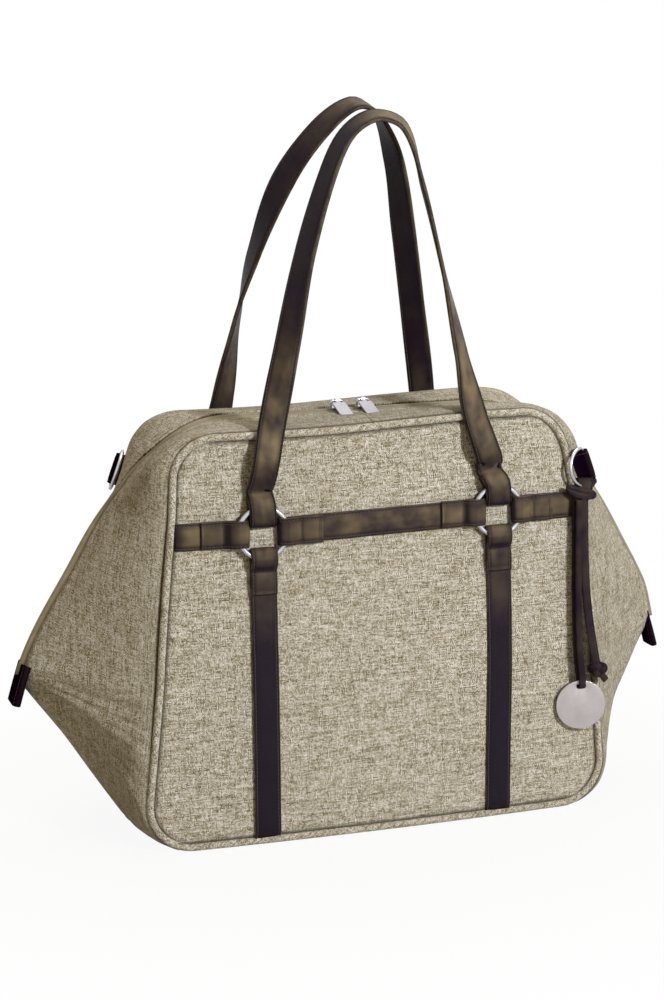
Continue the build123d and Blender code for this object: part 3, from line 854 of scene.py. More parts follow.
def zipper_tape():
    material, shader, _, uv = new_material("zipper_tape")
    weave = plain_weave(uv, 0.0007, 0.0011)
    colour = uv.noise(90.0, 3.0).spread(0.3, 0.7).mix((0.20, 0.165, 0.095), (0.29, 0.24, 0.15))
    # Painted shade: the weave is darkened where it lies low, between its yarns.
    colour = weave.spread(0.1, 0.55, 0.4, 0.0).mix(colour, (0.15, 0.12, 0.07))
    from_slit = uv.parts()[1].math("ABSOLUTE")
    for distance, width in ((0.0034, 0.0004), (0.0062, 0.0003)):
        off_line = (from_slit - distance).math("ABSOLUTE")
        colour = off_line.spread(0.0, width, 0.75, 0.0).mix(colour, (0.11, 0.085, 0.05))
    set_sockets(shader, Base_Color=colour, Roughness=0.75, Sheen_Weight=0.15)
    raise_by(shader, weave, 0.0003, 0.5)
    return material


tape_cloth = zipper_tape()


def tape(side, half):
    left, back = side == "left", half == "back"
    first, under = 2.005, 3.0

    def place(u, v):
        s = first + (5.0 - first) * u
        reach = (1.0 - v) * (tape_half(s) + under)
        a, _, _, edge, ridge, m = side_curve(s, side, half)
        if reach > tape_half(s):
            q = 1.0 - (reach - tape_half(s)) / (edge - a).length
            p = bare_side(s, q, side, half) - side_normal(s, q, side, half) * 1.6
        else:
            share = reach / tape_half(s)
            depth = tape_depth - 0.9 * (1 - share * share) * (tape_drop / 6)
            if reach < 3.2:
                depth -= 0.9 * sqrt(max(1 - ((reach - 1.6) / 1.6) ** 2, 0.0))
            if reach < 0.01:
                depth += 0.7
            p = ridge.lerp(edge, share) - m * depth
        return placed(Vector((p.x, min(p.y, -0.12), p.z)), left, back)

    piece = lattice(f"zipper_tape_{side}_{half}", 190, 18, place,
                    lambda u, v: (ridge_runs[-1] - run_length(
                        ridge_runs, first + (5.0 - first) * u), (1.0 - v) * 17.0),
                    outward=Vector((-0.6 if left else 0.6, 0, 1)))
    thicken(piece, 0.6)
    open_with_mouth(piece, side)
    fit_out(piece, tape_cloth, "zip_tape", None, f"zipper_{side}", f"zipper_tape_{half}")


for side in ("left", "right"):
    for half in ("front", "back"):
        tape(side, half)

# ------------------------------------------------------------------------------------------
# Base: one flat piece of canvas between the faces, with the stiffener board inside it.
base_length, base_depth = 334.0, 146.0


def base_spot(u, v):
    ripple = noise.noise(Vector((u - 0.5, v - 0.5, 0)) * 14)
    return (u - 0.5) * base_length, (v - 0.5) * base_depth, 0.6 + 0.5 * ripple


base = lattice("base_canvas", 60, 24, base_spot, lambda u, v: base_spot(u, v)[:2],
               outward=Vector((0, 0, -1)))
thicken(base, 2.0)
fit_out(base, canvas, "melange_fabric", "root", "base_panel")


def flecked(name, scale, detail, dark, light, roughness):
    material, shader, where, _ = new_material(name)
    set_sockets(shader, Base_Color=where.noise(scale, detail).mix(dark, light),
                Roughness=roughness)
    return material


def dress(name, material):
    """Give one of the part's own solids its material."""
    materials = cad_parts[name].data.materials
    materials.clear()
    materials.append(material)


dress("base_board", flecked("stiffener_board", 900, 3.0, (0.05, 0.045, 0.04),
                            (0.09, 0.08, 0.075), 0.8))

# ------------------------------------------------------------------------------------------
# Lining and inner pocket: plain woven cloth that hangs just inside the canvas, open under the
# mouth; the pocket is sewn to the back of it.


def lining_cloth():
    material, shader, where, uv = new_material("lining_cloth")
    weave = plain_weave(uv, 0.0006, 0.0006)
    colour = where.noise(22.0, 3.0).mix((0.30, 0.27, 0.235), (0.38, 0.345, 0.30))
    # Painted shade: the weave is darkened where it lies low, between its yarns.
    colour = weave.spread(0.1, 0.6, 0.35, 0.0).mix(colour, (0.17, 0.15, 0.13))
    set_sockets(shader, Base_Color=colour, Roughness=0.85)
    raise_by(shader, weave, 0.0002, 0.5)
    return material


lining_fabric = lining_cloth()
lining_depth, lining_floor_height = 5.0, 5.2


def lining_side(side, half):
    left, back = side == "left", half == "back"
    first, last = 0.35, 4.32

    def place(u, v):
        p = side_point(first + (last - first) * u, v, side, half, lining_depth, 3.3, 0.5)
        return placed(Vector((p.x, min(p.y, 0.0), max(p.z, lining_floor_height))),
                      left, back)

    piece = lattice(f"lining_{side}_{half}", 120, 24, place,
                    lambda u, v: (run_length(ridge_runs, first + (last - first) * u), 90 * v),
                    outward=Vector((-1 if left else 1, 0, 0)))
    fit_out(piece, lining_fabric, "lining_cloth", "root", "lining")


for side in ("left", "right"):
    for half in ("front", "back"):
        lining_side(side, half)


def lining_face(name, back):
    low, high = 5.5, 319.0

    def place(u, v):
        height = low + (high - low) * v
        x = (2 * u - 1) * (panel_half_width(min(max(height, 6), 326)) - 1.0)
        wave = 0.8 * noise.noise(Vector((x / 40, height / 50, 21.0)))
        p = on_face(x, height, swell(x, height) - 6.2 + wave)
        p.z = max(p.z, lining_floor_height)
        return settled(p, back)

    piece = lattice(name, 60, 56, place, lambda u, v: ((2 * u - 1) * 170, 320 * v),
                    outward=Vector((0, 1 if back else -1, 0)))
    thicken(piece, 0.5)
    fit_out(piece, lining_fabric, "lining_cloth", "root", "lining")


lining_face("lining_front", False)
lining_face("lining_back", True)


def floor_spot(u, v):
    ripple = 0.5 * noise.noise(Vector((u * 9, v * 4, 2)))
    return (2 * u - 1) * 180, (2 * v - 1) * 69.5, lining_floor_height + ripple


lining_floor = lattice("lining_floor", 50, 20, floor_spot, lambda u, v: (360 * u, 139 * v),
                       outward=Vector((0, 0, -1)))
thicken(lining_floor, 0.5)
fit_out(lining_floor, lining_fabric, "lining_cloth", "root", "lining")

pocket_half, pocket_low, pocket_high, pocket_deep = 90.0, 60.0, 190.0, 13.0


def pocket_spot(u, v):
    x = (2 * u - 1) * pocket_half
    height = pocket_low + (pocket_high - pocket_low) * v
    out = min(1 - abs(2 * u - 1), 0.12) / 0.12
    low = min(v / 0.14, 1.0)
    belly = sqrt(max(1 - (1 - out) ** 2, 0.0)) * sqrt(max(1 - (1 - low) ** 2, 0.0))
    wave = 0.7 * noise.noise(Vector((x / 30, height / 30, 5.0)))
    return to_back(on_face(x, height, swell(x, height) - 7.0 - belly * (pocket_deep + wave)))


pocket = lattice("pocket", 48, 40, pocket_spot,
                 lambda u, v: (180 * u, 130 * v), outward=Vector((0, -1, 0)))
thicken(pocket, 0.6)
fit_out(pocket, lining_fabric, "lining_cloth", "root", "inner_pocket")

# ------------------------------------------------------------------------------------------
# Leather straps: a cross strap in three lengths and two down straps on each face, each with
# turned, stitched edges, and folded back round its O-ring and sewn down.
strap_width, strap_thick = 22.0, 2.2
ring_x, ring_major, ring_wire = 100.0, 20.2, 2.0
ring_height = {-1: 254.8, 1: 258.7}
ring_lift = strap_thick + ring_wire + 0.15
doubled_end, cross_end = 49.5, 170.0


def grained_leather(name, gloss, wear_and_sheen=1.0):
    """Soft dark leather with olive highlights painted on where it faces the key lamp, on upper
    parts and along a strap's middle, and with rubbed lighter edges; the last argument scales both.
    V in the UVs is the distance from the edge.
    """
    material, shader, where, uv = new_material(name)
    along, from_edge, _ = uv.parts()
    grain = where.into("TexVoronoi", None, 1150.0, feature="DISTANCE_TO_EDGE").spread(0.0, 0.22)
    creases = where.noise(330.0, 4.0, 0.6)
    drawn = uv.into("Mapping", None, None, (0.35, 1.0, 1.0))
    blotch = drawn.into("VectorMath", where, operation="ADD").noise(40.0, 2.0, 0.5)
    # Painted highlight: olive patches where the surface faces the key lamp, on the upper parts and
    # away from the edges, broken up by noise.
    facing = source(material.node_tree, "NewGeometry", "Normal").into(
        "VectorMath", (0.40, -0.72, 0.57), operation="DOT_PRODUCT", output="Value")
    height = where.parts()[2]
    painted_highlight = (blotch.spread(0.20, 0.82, 0.0, wear_and_sheen) * height.spread(0.16, 0.27, 0.02, 1.0)
               * facing.spread(0.35, 0.95, 0.1, 1.5) * from_edge.spread(0.0022, 0.0055, 0.35, 1.0))
    colour = painted_highlight.mix((0.0062, 0.0012, 0.0082), (0.170, 0.124, 0.066))
    worn = (from_edge.spread(0.0, 0.0010, 1.0, 0.0)
            * where.noise(120.0, 3.0).spread(0.35, 0.65, 0.1 * wear_and_sheen, 0.8 * wear_and_sheen))
    colour = worn.mix(colour, (0.13, 0.10, 0.055))
    # Painted shade: the sunk stitch line is darkened; the thread dashes over it keep their own
    # lighter colour.
    seam_shade = (from_edge - 0.0021).math("ABSOLUTE").spread(0.00015, 0.00042, 1.0, 0.0)
    dash = (along / 0.0032).math("FRACT").math("PINGPONG", 0.5).spread(0.08, 0.14)
    thread = seam_shade * dash
    colour = seam_shade.mix(colour, (0.008, 0.004, 0.008))
    colour = thread.mix(colour, (0.070, 0.052, 0.036))
    rough = creases.spread(0.3, 0.7, 0.36, 0.54) + seam_shade * 0.2
    set_sockets(shader, Base_Color=colour, Roughness=rough, Specular_IOR_Level=gloss)
    relief = grain * 0.35 + creases * 0.8 + thread * 0.9 - seam_shade * 0.8
    raise_by(shader, relief, 0.00028, 0.8)
    return material


leather = grained_leather("grained_leather", 0.12)


def band_section(width, thick, groove=0.3):
    """Points (across, up) round a strap: rounded edges and a sunk stitch line near each."""
    w, t = width / 2, thick / 2
    top = [(w, 0.0), (w - 0.25 * t, 0.75 * t), (w - t, t), (w - 1.55, t), (w - 2.1, t - groove),
           (w - 2.65, t), (w - 4.5, t + 0.12), (w * 0.3, t + 0.2), (0.0, t + 0.22)]
    top += [(-a, b) for a, b in top[-2::-1]]
    return top + [(-a, -b) for a, b in top[1:-1]] + top[:1]


def track_through(points, per_span):
    """Smooth line through the points, cut into the given number of steps between each two."""
    points = [Vector(p) for p in points]
    slopes = []
    for k, p in enumerate(points):
        before, after = points[max(k - 1, 0)], points[min(k + 1, len(points) - 1)]
        span = (p - before).length + (after - p).length
        slopes.append((after - before) / max(span, 1e-6))
    track = []
    for k, (a, b) in enumerate(zip(points, points[1:])):
        gap = (b - a).length
        count = per_span if isinstance(per_span, int) else per_span[k]
        for step in range(count):
            t = step / count
            t2, t3 = t * t, t * t * t
            track.append(a * (2 * t3 - 3 * t2 + 1) + slopes[k] * gap * (t3 - 2 * t2 + t)
                         + b * (3 * t2 - 2 * t3) + slopes[k + 1] * gap * (t3 - t2))
    track.append(points[-1])
    return track


def band(name, track, across_at, section):
    """Strap swept along a track; across_at gives the direction of its width at each step."""
    last = len(track) - 1
    lengths = running_lengths(track, lambda step: step.length)
    widest = max(a for a, _ in section)

    def frame_at(k):
        way = (track[min(k + 1, last)] - track[max(k - 1, 0)]).normalized()
        side = across_at(k)
        side = (side - way * side.dot(way)).normalized()
        return side, side.cross(way)

    frames = [frame_at(k) for k in range(last + 1)]

    def place(u, v):
        k = round(u * last)
        a, b = section[round(v * (len(section) - 1))]
        side, out = frames[k]
        return track[k] + side * a + out * b

    def edge_uv(u, v):
        a, _ = section[round(v * (len(section) - 1))]
        return lengths[round(u * last)], widest - abs(a)

    return lattice(name, last, len(section) - 1, place, edge_uv, close_ends=True)


def base_level(x, v):
    return cloth_height(x, v, front_folds, front_seed)


def folded_end(ring_sign, turn, nose, far, lift=0.0):
    """Track points of a strap from far out, in under the ring's wire, round and back on top."""
    one, two = strap_thick / 2 + 0.15, strap_thick * 1.5 + 0.25
    over = ring_lift + ring_wire + strap_thick / 2 + 0.2
    steps = [(r, one) for r in far] + [
        (nose + 7.0, one), (nose + 3.2, one + 0.2), (nose + 0.6, one + 1.9),
        (nose + 0.4, over * 0.56), (nose + 2.4, over - 1.1), (nose + 7.0, over - 0.1),
        (ring_major + 1.0, over + lift), (ring_major + 5.5, over * 0.72 + two * 0.28 + lift * 0.4),
        (ring_major + 8.5, two + 0.7), (ring_major + 11.3, two - 0.35),
        (ring_major + 14.0, two + 0.35), (ring_major + 22.5, two + 0.35),
        (ring_major + 26.3, two - 0.35), (doubled_end, two - 0.1)]
    way = Vector((cos(radians(turn)), sin(radians(turn)), 0))
    centre = Vector((ring_sign * ring_x, ring_height[ring_sign], 0))
    return [centre + way * r + Vector((0, 0, w)) for r, w in steps]


def lay_on(points):
    """From face coordinates to places in the bag."""
    return [on_face(p.x, p.y, p.z + base_level(p.x, p.y)) for p in points]


def strap(name, flat_points, across, back, spans):
    track = [settled(p, back) for p in lay_on(track_through(flat_points, spans))]
    way = on_face(*across, 0) - on_face(0, 0, 0)
    if back:
        way = to_back(way)
    section = band_section(strap_width, strap_thick - 0.1)
    piece = band(f"{name}_leather", track, lambda k: way, section)
    fit_out(piece, leather, "dark_leather", "root", name)


def sew_row(bm, middle, side, way, above, back):
    """Add a row of nine coarse stitches, above the strap by so much."""
    for k in range(-4, 5):
        p = middle + side * (k * 2.15)
        w = base_level(p.x, p.y) + 2 * strap_thick + above
        for vert in bmesh.ops.create_icosphere(bm, subdivisions=1, radius=0.5)["verts"]:
            c = vert.co
            q = p + side * (c.x * 1.7) + way * (c.y * 0.62)
            vert.co = settled(on_face(q.x, q.y, w + c.z * 0.5), back) * MM


def bar_tack(name, ring_sign, turn, back):
    """Two rows of stitches across a folded end, beside the ring and at the raw edge."""
    way = Vector((cos(radians(turn)), sin(radians(turn)), 0))
    centre = Vector((ring_sign * ring_x, ring_height[ring_sign], 0))
    bm = bmesh.new()
    for r in (31.5, 46.5):
        sew_row(bm, centre + way * r, Vector((-way.y, way.x, 0)), way, 0.35, back)
    fit_out(built(name, bm), sewing_thread, "dark_leather", "root")


sewing_thread = flecked("sewing_thread", 2600.0, 2.0, (0.012, 0.006, 0.010),
                        (0.045, 0.032, 0.024), 0.6)
loop_spans = [5, 3, 3, 3, 3, 4, 4, 5, 4, 3, 3, 4, 3, 3, 3]
for half in ("front", "back"):
    back = half == "back"
    for side, sign, turn in (("left", -1, 180), ("right", 1, 0)):
        nose = 11.4 if side == "left" else 12.4
        strap(f"cross_strap_{half}_{side}",
              folded_end(sign, turn, nose, [cross_end - ring_x, 52.0, 36.0]),
              (0, 1), back, [10, 6, 6] + loop_spans[2:])
        bar_tack(f"cross_stitches_{half}_{side}", sign, turn, back)
        far = [ring_height[sign] - 5.6, 200.0, 150.0, 100.0, 60.0, 38.0]
        strap(f"down_strap_{half}_{side}", folded_end(sign, 270, 12.1, far),
              (1, 0), back, [12, 12, 12, 10, 8, 6] + loop_spans[2:])
        bar_tack(f"down_stitches_{half}_{side}", sign, 270, back)
        bar_tack(f"centre_stitches_{half}_{side}", sign, 180 - turn, back)
    middle_height = (ring_height[-1] + ring_height[1]) / 2
    climb = (ring_height[1] - ring_height[-1]) / 2 / ring_x
    middle = [Vector((x, middle_height + climb * x, strap_thick / 2 + 0.15))
              for x in (-62, -30, 0, 30, 62)]
    strap(f"cross_strap_{half}_centre",
          folded_end(-1, 0, 12.6, [])[::-1] + middle + folded_end(1, 180, 11.6, []),
          (0, 1), back, loop_spans[2:][::-1] + [6, 8, 8, 8, 8, 6] + loop_spans[2:])

# ------------------------------------------------------------------------------------------
# Handles: two long flat straps of doubled leather. Each end comes up from its ring, leaves the
# face above the stitched fold, and turns as it rises so that the pair nest at the top.
handle_thick = 3.4
front_line = [(-89, -60.5, 340, 12), (-72, -46, 398, 40), (-52.5, -31.5, 468, 62),
              (-28.5, -19, 531, 70), (-10, -13, 562, 72), (14, -11, 575, 68),
              (38, -12.5, 566, 60), (52, -19, 518, 74), (64, -31, 456, 70), (76, -46, 384, 44),
              (82, -60.5, 338, 8)]
back_line = [(-94, -60.5, 345, 22), (-86, -47, 408, 62), (-74, -37, 462, 98),
             (-53, -24, 522, 132), (-24, -15, 564, 122), (4, -11.5, 584, 108),
             (24, -13.5, 575, 92), (41, -20, 538, 64), (54, -31, 480, 45), (67, -45, 420, 40),
             (83, -60.5, 336, 10)]
fold_back = Vector((0.0, -1.0, 0.06)).normalized()


def swing(piece):
    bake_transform(piece)


def handle(half, line_points):
    ends = {}
    for sign in (-1, 1):
        points = folded_end(sign, 90, 5.6, [30.0, 22.0], lift=0.6)[:-3]
        points = [settled(p) for p in lay_on(points)]
        low = ring_height[sign]
        if sign < 0:
            rise = [on_face(-ring_x, low + 39.5, 7.4), on_face(-99.0, low + 47.0, 10.6),
                    on_face(-97.0, low + 58.0, 12.0)]
        else:
            for p in points:
                p.x -= 0.42 * max(p.z - low - 22.0, 0.0)
            rise = [on_face(93.2, low + 40.5, 7.4), on_face(90.0, low + 48.0, 10.6),
                    on_face(86.0, low + 58.0, 12.0)]
        ends[sign] = points + rise
    middle = [Vector(p[:3]) for p in line_points]
    points = ends[-1] + middle + ends[1][::-1]
    turns = [0.0] * len(ends[-1]) + [radians(p[3]) for p in line_points] + [0.0] * len(ends[1])
    spans = []
    for a, b in zip(points, points[1:]):
        spans.append(max(2, min(14, round((b - a).length / 4.5))))
    track = track_through(points, spans)
    turn_track = []
    for k, count in enumerate(spans):
        for step in range(count):
            t = step / count
            turn_track.append(turns[k] + (turns[k + 1] - turns[k]) * (eased(t) + t) / 2)
    turn_track.append(turns[-1])
    crossed = sum(spans) // 2

    def across_at(k):
        way = (track[min(k + 1, len(track) - 1)] - track[max(k - 1, 0)]).normalized()
        level = Vector((1.0 if k < crossed else -1.0, 0, 0))
        free = way.cross(fold_back)
        share = clipped((track[k].z - 300.0) / 30.0)
        side = level.lerp(free.normalized(), share) if free.length > 0.3 else level
        side = (side - way * side.dot(way)).normalized()
        return Matrix.Rotation(-turn_track[k], 3, way) @ side

    sides = [across_at(k) for k in range(len(track))]
    if half == "back":
        track = [to_back(p) for p in track]
        sides = [to_back(s) for s in sides]
    piece = band(f"handle_{half}_leather", track, lambda k: sides[k],
                 band_section(strap_width + 0.2, handle_thick, 0.35))
    swing(piece)
    fit_out(piece, leather, "dark_leather", None, f"handle_{half}",
            f"handle_end_{half}_left", f"handle_end_{half}_right")


for half, line_points in (("front", front_line), ("back", back_line)):
    handle(half, line_points)
    for side, x, height in (("left", -ring_x, ring_height[-1]),
                            ("right", ring_x - 3.6, ring_height[1])):
        bm = bmesh.new()
        sew_row(bm, Vector((x, height + 31.5, 0)), Vector((1, 0, 0)), Vector((0, 1, 0)), 1.15,
                half == "back")
        stitches = built(f"handle_stitches_{half}_{side}", bm, smooth=False)
        swing(stitches)
        fit_out(stitches, sewing_thread, "dark_leather", None)

# ------------------------------------------------------------------------------------------
# O-rings: four cast rings of satin nickel, one where each handle, cross and down strap meet.


def satin_nickel():
    material, shader, where, _ = new_material("satin_nickel")
    brushed = where.noise(1400.0, 3.0, 0.6)
    colour = where.noise(160.0, 2.0).mix((0.46, 0.44, 0.48), (0.60, 0.58, 0.62))
    # Painted shade: the metal is darker where it faces down.
    facing_up = source(material.node_tree, "NewGeometry", "Normal").parts()[2]
    colour = facing_up.spread(-0.75, 0.35, 0.75, 0.0).mix(colour, (0.16, 0.145, 0.17))
    set_sockets(shader, Base_Color=colour, Metallic=1.0,
                Roughness=brushed.spread(0.3, 0.7, 0.24, 0.38))
    raise_by(shader, brushed, 0.00004, 0.5)
    return material


nickel = satin_nickel()


def turned_ring(name, centre, axis, major, minor):
    """Round wire ring: a small circle spun once round the ring's axis."""
    bm = bmesh.new()
    made = bmesh.ops.create_circle(bm, segments=16, radius=minor * MM)["verts"]
    sideways = axis.orthogonal().normalized()
    basis = Matrix((sideways, axis, sideways.cross(axis))).transposed().to_4x4()
    basis.translation = (centre + sideways * major) * MM
    bmesh.ops.transform(bm, matrix=basis, verts=made)
    bmesh.ops.spin(bm, geom=bm.verts[:] + bm.edges[:], cent=centre * MM, axis=axis,
                   angle=2 * pi, steps=72, use_merge=True, use_duplicate=False)
    return built(name, bm)


face_normal = on_face(0, 0, 1) - on_face(0, 0, 0)
for half in ("front", "back"):
    for side, sign in (("left", -1), ("right", 1)):
        height = ring_height[sign]
        centre = settled(on_face(sign * ring_x, height, swell(ring_x, height) + ring_lift))
        axis = face_normal.copy()
        if half == "back":
            centre, axis = to_back(centre), to_back(axis)
        ring = turned_ring(f"o_ring_{half}_{side}", centre, axis, ring_major, ring_wire)
        fit_out(ring, nickel, "satin_nickel", "root", f"ring_{half}_{side}")

# ------------------------------------------------------------------------------------------
# Side D-rings and their leather tabs: each tab is folded round the ring's straight bar and
# sewn in behind the front piping on the right and behind the back piping on the left.
d_straight, d_depth, d_wire = 31.0, 22.0, 1.5
d_bow_r = ((d_straight / 2) ** 2 + d_depth**2) / (2 * d_depth)
d_height, d_slope, d_forward, d_reach = 286.0, radians(20.0), radians(20.0), 15.0
d_right_turn, d_left_fold = radians(207.0), radians(8.0)
tab_width, tab_leather = 26.0, 2.2
left_out, left_down = 3.0, 2.5
down_bar = Vector((sin(d_slope), 0, -cos(d_slope)))
out_bar = Vector((cos(d_slope), 0, sin(d_slope)))
side_x = base_half_width + (top_half_width - base_half_width) * d_height / body_height
d_root = on_face(side_x - gusset_inset, d_height, -4.0 - tab_leather - 0.3)
ridge_x = ridge_corner + (wing_reach - ridge_corner) * (ridge_height - d_height) / (
    ridge_height - wing_height)
d_left_turn = atan(-d_root.y / (ridge_x - side_x)) + d_left_fold


def around_bar(angle):
    return out_bar * cos(angle) + Vector((0, 1, 0)) * sin(angle)


bar_middle = d_root + around_bar(-d_forward) * d_reach


def half_turn(p):
    """The left ring and tab are the right ones turned half round, pulled out a little."""
    return Vector((-p[0] - left_out, -p[1], p[2] - left_down))


def wire_loop(name, points, radius):
    """Closed wire through evenly spread points."""
    count = len(points)

    def place(u, v):
        k = round(u * count) % count
        way = (points[(k + 1) % count] - points[k - 1]).normalized()
        flat = (points[count // 4] - points[0]).cross(points[count // 2] - points[0]).normalized()
        side = way.cross(flat).normalized()
        a = 2 * pi * v
        return points[k] + side * (radius * cos(a)) + flat * (radius * sin(a))

    return lattice(name, count, 14, place, lambda u, v: (u * 80, v * 9))


def d_outline(angle):
    """Points round the D: straight bar, rounded corners and a round bow."""
    middle = d_depth - d_bow_r
    rough = [complex(0, -d_straight / 2 + d_straight * k / 24) for k in range(25)]
    top_angle = turn_from(complex(1, 0), complex(-middle, d_straight / 2))
    for k in range(1, 48):
        turn = top_angle * (1 - k / 24)
        rough.append(complex(middle, 0) + d_bow_r * complex(cos(turn), sin(turn)))
    for _ in range(14):
        rough = [(rough[k - 1] + rough[k] * 2 + rough[(k + 1) % len(rough)]) / 4
                 for k in range(len(rough))]
    way = around_bar(angle)
    return [bar_middle + way * p.real + down_bar * p.imag for p in rough]


for side, points in (("right", d_outline(d_right_turn)),
                     ("left", [half_turn(p) for p in d_outline(d_left_turn)])):
    d_ring = wire_loop(f"d_ring_{side}_wire", points, d_wire)
    fit_out(d_ring, nickel, "satin_nickel", f"d_ring_{side}", f"d_ring_{side}")

end_leather = grained_leather("tab_leather", 0.0, 0.12)
tab_wrap = d_wire + 0.2 + tab_leather / 2
way, square = around_bar(-d_forward), around_bar(pi / 2 - d_forward)
tab_points = []
for a, b in ((-6.0, -0.95), (0.0, -0.95), (6.0, -1.1), (d_reach - 3.2, -1.9),
             (d_reach, -tab_wrap), (d_reach + tab_wrap * 0.75, -tab_wrap * 0.7),
             (d_reach + tab_wrap, 0.0), (d_reach + tab_wrap * 0.75, tab_wrap * 0.7),
             (d_reach, tab_wrap), (d_reach - 3.2, 1.9), (6.0, 1.1), (0.0, 0.95), (-6.0, 0.95)):
    tab_points.append(d_root + way * a + square * b)
tab_track = track_through(tab_points, 4)
for side in ("right", "left"):
    track = tab_track if side == "right" else [half_turn(p) for p in tab_track]
    bar = down_bar if side == "right" else Vector((-down_bar.x, 0, down_bar.z))
    tab = band(f"d_ring_tab_{side}_leather", track, lambda k: bar,
               band_section(tab_width, tab_leather))
    fit_out(tab, end_leather, "dark_leather", "root", f"d_ring_tab_{side}")

# ------------------------------------------------------------------------------------------
# Zipper end tabs: leather folded over the zipper's end at each wing tip and stitched round,
# standing out from the wing with its lower end free.
end_tab_length = 33.0
end_slope = radians(18.5)
tab_top = Vector((wing_reach - gusset_inset - 2.2, 0, wing_height + foot_rise + 12.0))
tab_down = Vector((sin(end_slope), 0, -cos(end_slope)))
tab_out = Vector((cos(end_slope), 0, sin(end_slope)))
for side, turn, wide, thick, sag in (("right", 1, 20.0, 5.0, Vector((-11.5, 0, -5.0))),
                                     ("left", -1, 24.0, 6.4, Vector((-0.8, 0, -3.5)))):
    track = []
    for k in range(15):
        a = end_tab_length * k / 14
        p = tab_top + tab_down * a + tab_out * (0.4 - 0.9 * (a / end_tab_length) ** 2) + sag
        track.append(Vector((turn * p.x, p.y, p.z)))
    tab = band(f"zip_tab_{side}_leather", track, lambda k: Vector((0, 1, 0)),
               band_section(wide, thick))
    fit_out(tab, end_leather, "dark_leather", "root", f"zip_tab_{side}")

# ------------------------------------------------------------------------------------------
# Sliders and pulls: cast satin-nickel sliders with a wire bail each; the flat pulls hang
# forward from the bails. The right pair stands a little closer to the left one.
pair_closer = 7.5
for name in ("slider_left", "pull_tag_left"):
    dress(name, nickel)
for name, body in (("slider_right", "slider_right"), ("pull_tag_right", "pull_right")):
    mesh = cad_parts[name].data.copy()
    mesh.name = f"{name}_cast"
    mesh.transform(Matrix.Translation((-pair_closer * MM, 0, 0)))
    mesh.materials.clear()
    fit_out(new_object(mesh.name, mesh), nickel, "satin_nickel", body, name)

# ------------------------------------------------------------------------------------------
# Hitch: the lace is wound round the right D-ring's bow and drawn through itself in a flat bar.
bow_way = around_bar(d_right_turn)
ring_bottom = bar_middle + bow_way * (d_depth - d_bow_r) + down_bar * d_bow_r
hitch_middle = Vector((174.0, -69.6, 268.6))


def hitch_bar(u, v):
    """Flat bar with pointed ends, its turns of lace showing as soft ridges."""
    along = (2 * u - 1) * 14.4
    t = abs(2 * u - 1)
    half = 5.0 * sqrt(max(1 - t**2.6, 0.0)) + 0.02
    half *= 1 + 0.04 * cos(along * 1.1)
    a = 2 * pi * v
    split = 1 - 0.42 * exp(-((sin(a) - 0.12) / 0.20) ** 2)
    bent = Vector((0, -1.2 * (1 - t * t), 3.0 * max(1 - 2 * u, 0.0) ** 2))
    depth = abs(cos(a)) ** 0.6 * (1 if cos(a) > 0 else -1)
    return hitch_middle + Vector((0.98, 0, -0.18)) * along + bent + Vector(
        (0, half * 0.60 * split * depth, half * sin(a)))


bar_piece = lattice("hitch_bar", 48, 36, hitch_bar, lambda u, v: (u * 22, v * 16))


def hitch_sleeve(u, v):
    """Turns of lace round the ring's wire."""
    along = (2 * u - 1) * 7.6
    half = 3.3 + 0.4 * abs(sin(along * 0.6))
    if u < 0.04 or u > 0.96:
        half = 1.75
    a = 2 * pi * v
    side = bow_way.cross(down_bar).normalized()
    bend = -along * along / (2 * d_bow_r)
    return ring_bottom + bow_way * along + down_bar * (bend + half * cos(a)) + side * (
        half * sin(a))


sleeve = lattice("hitch_sleeve", 40, 20, hitch_sleeve, lambda u, v: (u * 9, v * 20))
drop_points = [ring_bottom + Vector(p) for p in ((-4.5, 0.8, 5.0), (-5.4, -2.8, 4.4),
                                                 (-6.2, -4.4, 0.6))]
drop_points += [hitch_middle + Vector(p) for p in ((0, 1.0, -2.0), (0.3, 0.6, -6.0))]
drop_piece = band("hitch_drop", track_through(drop_points, 5),
                  lambda k: Vector((1, -0.15, 0)), band_section(14.5, 3.6, 0.0))
fit_out(bar_piece, thong, "lace", "charm", "charm_hitch")
fit_out(sleeve, thong, "lace", "charm")
fit_out(drop_piece, thong, "lace", "charm")

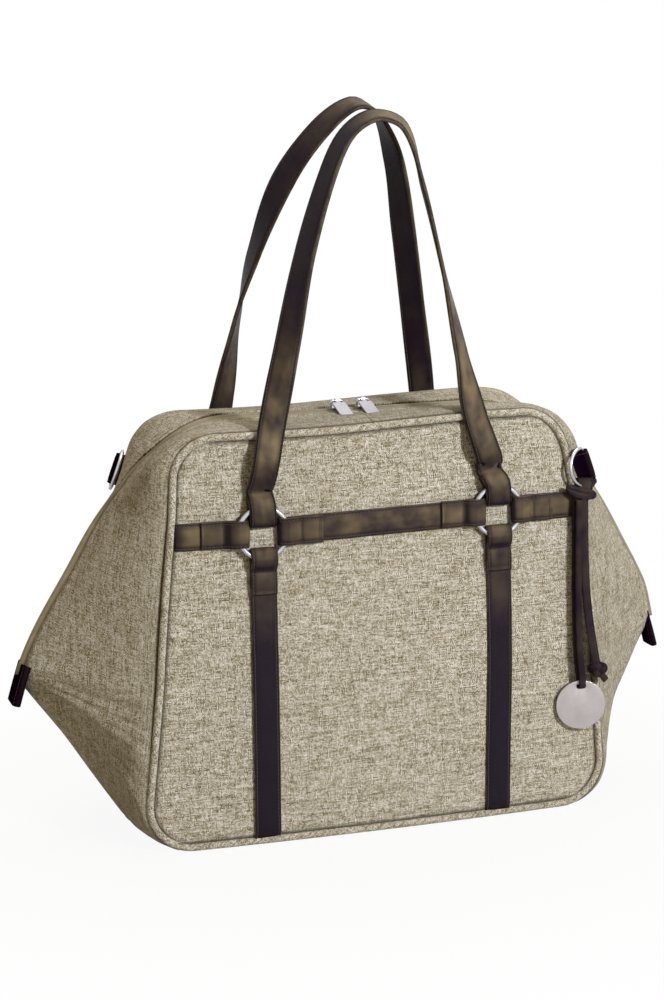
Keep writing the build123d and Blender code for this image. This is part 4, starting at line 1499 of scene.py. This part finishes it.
# ------------------------------------------------------------------------------------------
# Medallion: a plain round of pale satin metal with a slot for the lace; its face is bare.
medal_centre, medal_r, medal_t = Vector((173.1, -80.0, 90.3)), 20.9, 2.0
slot_wide, slot_high, slot_below = 8.0, 3.4, 3.0


def pale_satin():
    material, shader, where, _ = new_material("pale_satin")
    brushed = where.into("Mapping", None, (0, 0.5, 0), (300, 300, 2600)).noise(1.0, 3.0, 0.6)
    colour = where.noise(90.0, 2.0).mix((0.37, 0.335, 0.33), (0.51, 0.465, 0.46))
    set_sockets(shader, Base_Color=colour, Metallic=0.85,
                Roughness=brushed.spread(0.3, 0.7, 0.34, 0.50))
    raise_by(shader, brushed, 0.00003, 0.5)
    return material


bm = bmesh.new()
bmesh.ops.create_circle(bm, segments=96, radius=medal_r)
hole = bmesh.ops.create_circle(bm, segments=96, radius=1.0)["verts"]
slot_middle = medal_r - slot_below - slot_high / 2
for v in hole:
    flat_x = max(min(v.co.x * 9, slot_wide / 2 - 1.4), -slot_wide / 2 + 1.4)
    v.co = Vector((flat_x + v.co.x * 1.4, v.co.y * slot_high / 2 + slot_middle, 0))
bmesh.ops.bridge_loops(bm, edges=[e for e in bm.edges])
raised = bmesh.ops.extrude_face_region(bm, geom=bm.faces[:])["geom"]
bmesh.ops.translate(bm, verts=[g for g in raised if isinstance(g, bmesh.types.BMVert)],
                    vec=(0, 0, medal_t))
bmesh.ops.recalc_face_normals(bm, faces=bm.faces)
sharp = [e for e in bm.edges if e.calc_face_angle(0) > 1.0]
bmesh.ops.bevel(bm, geom=sharp, affect="EDGES", offset=0.4, segments=3, profile=0.5, material=-1)
bmesh.ops.translate(bm, verts=bm.verts, vec=(0, 0, -medal_t / 2))
bmesh.ops.transform(bm, verts=bm.verts, matrix=Matrix.Scale(MM, 4) @ Matrix.Translation(
    medal_centre) @ Matrix.Rotation(radians(-11), 4, "Z") @ Matrix.Rotation(pi / 2, 4, "X"))
fit_out(built("medallion_disc", bm), pale_satin(), "medallion_metal", "medallion", "medallion")
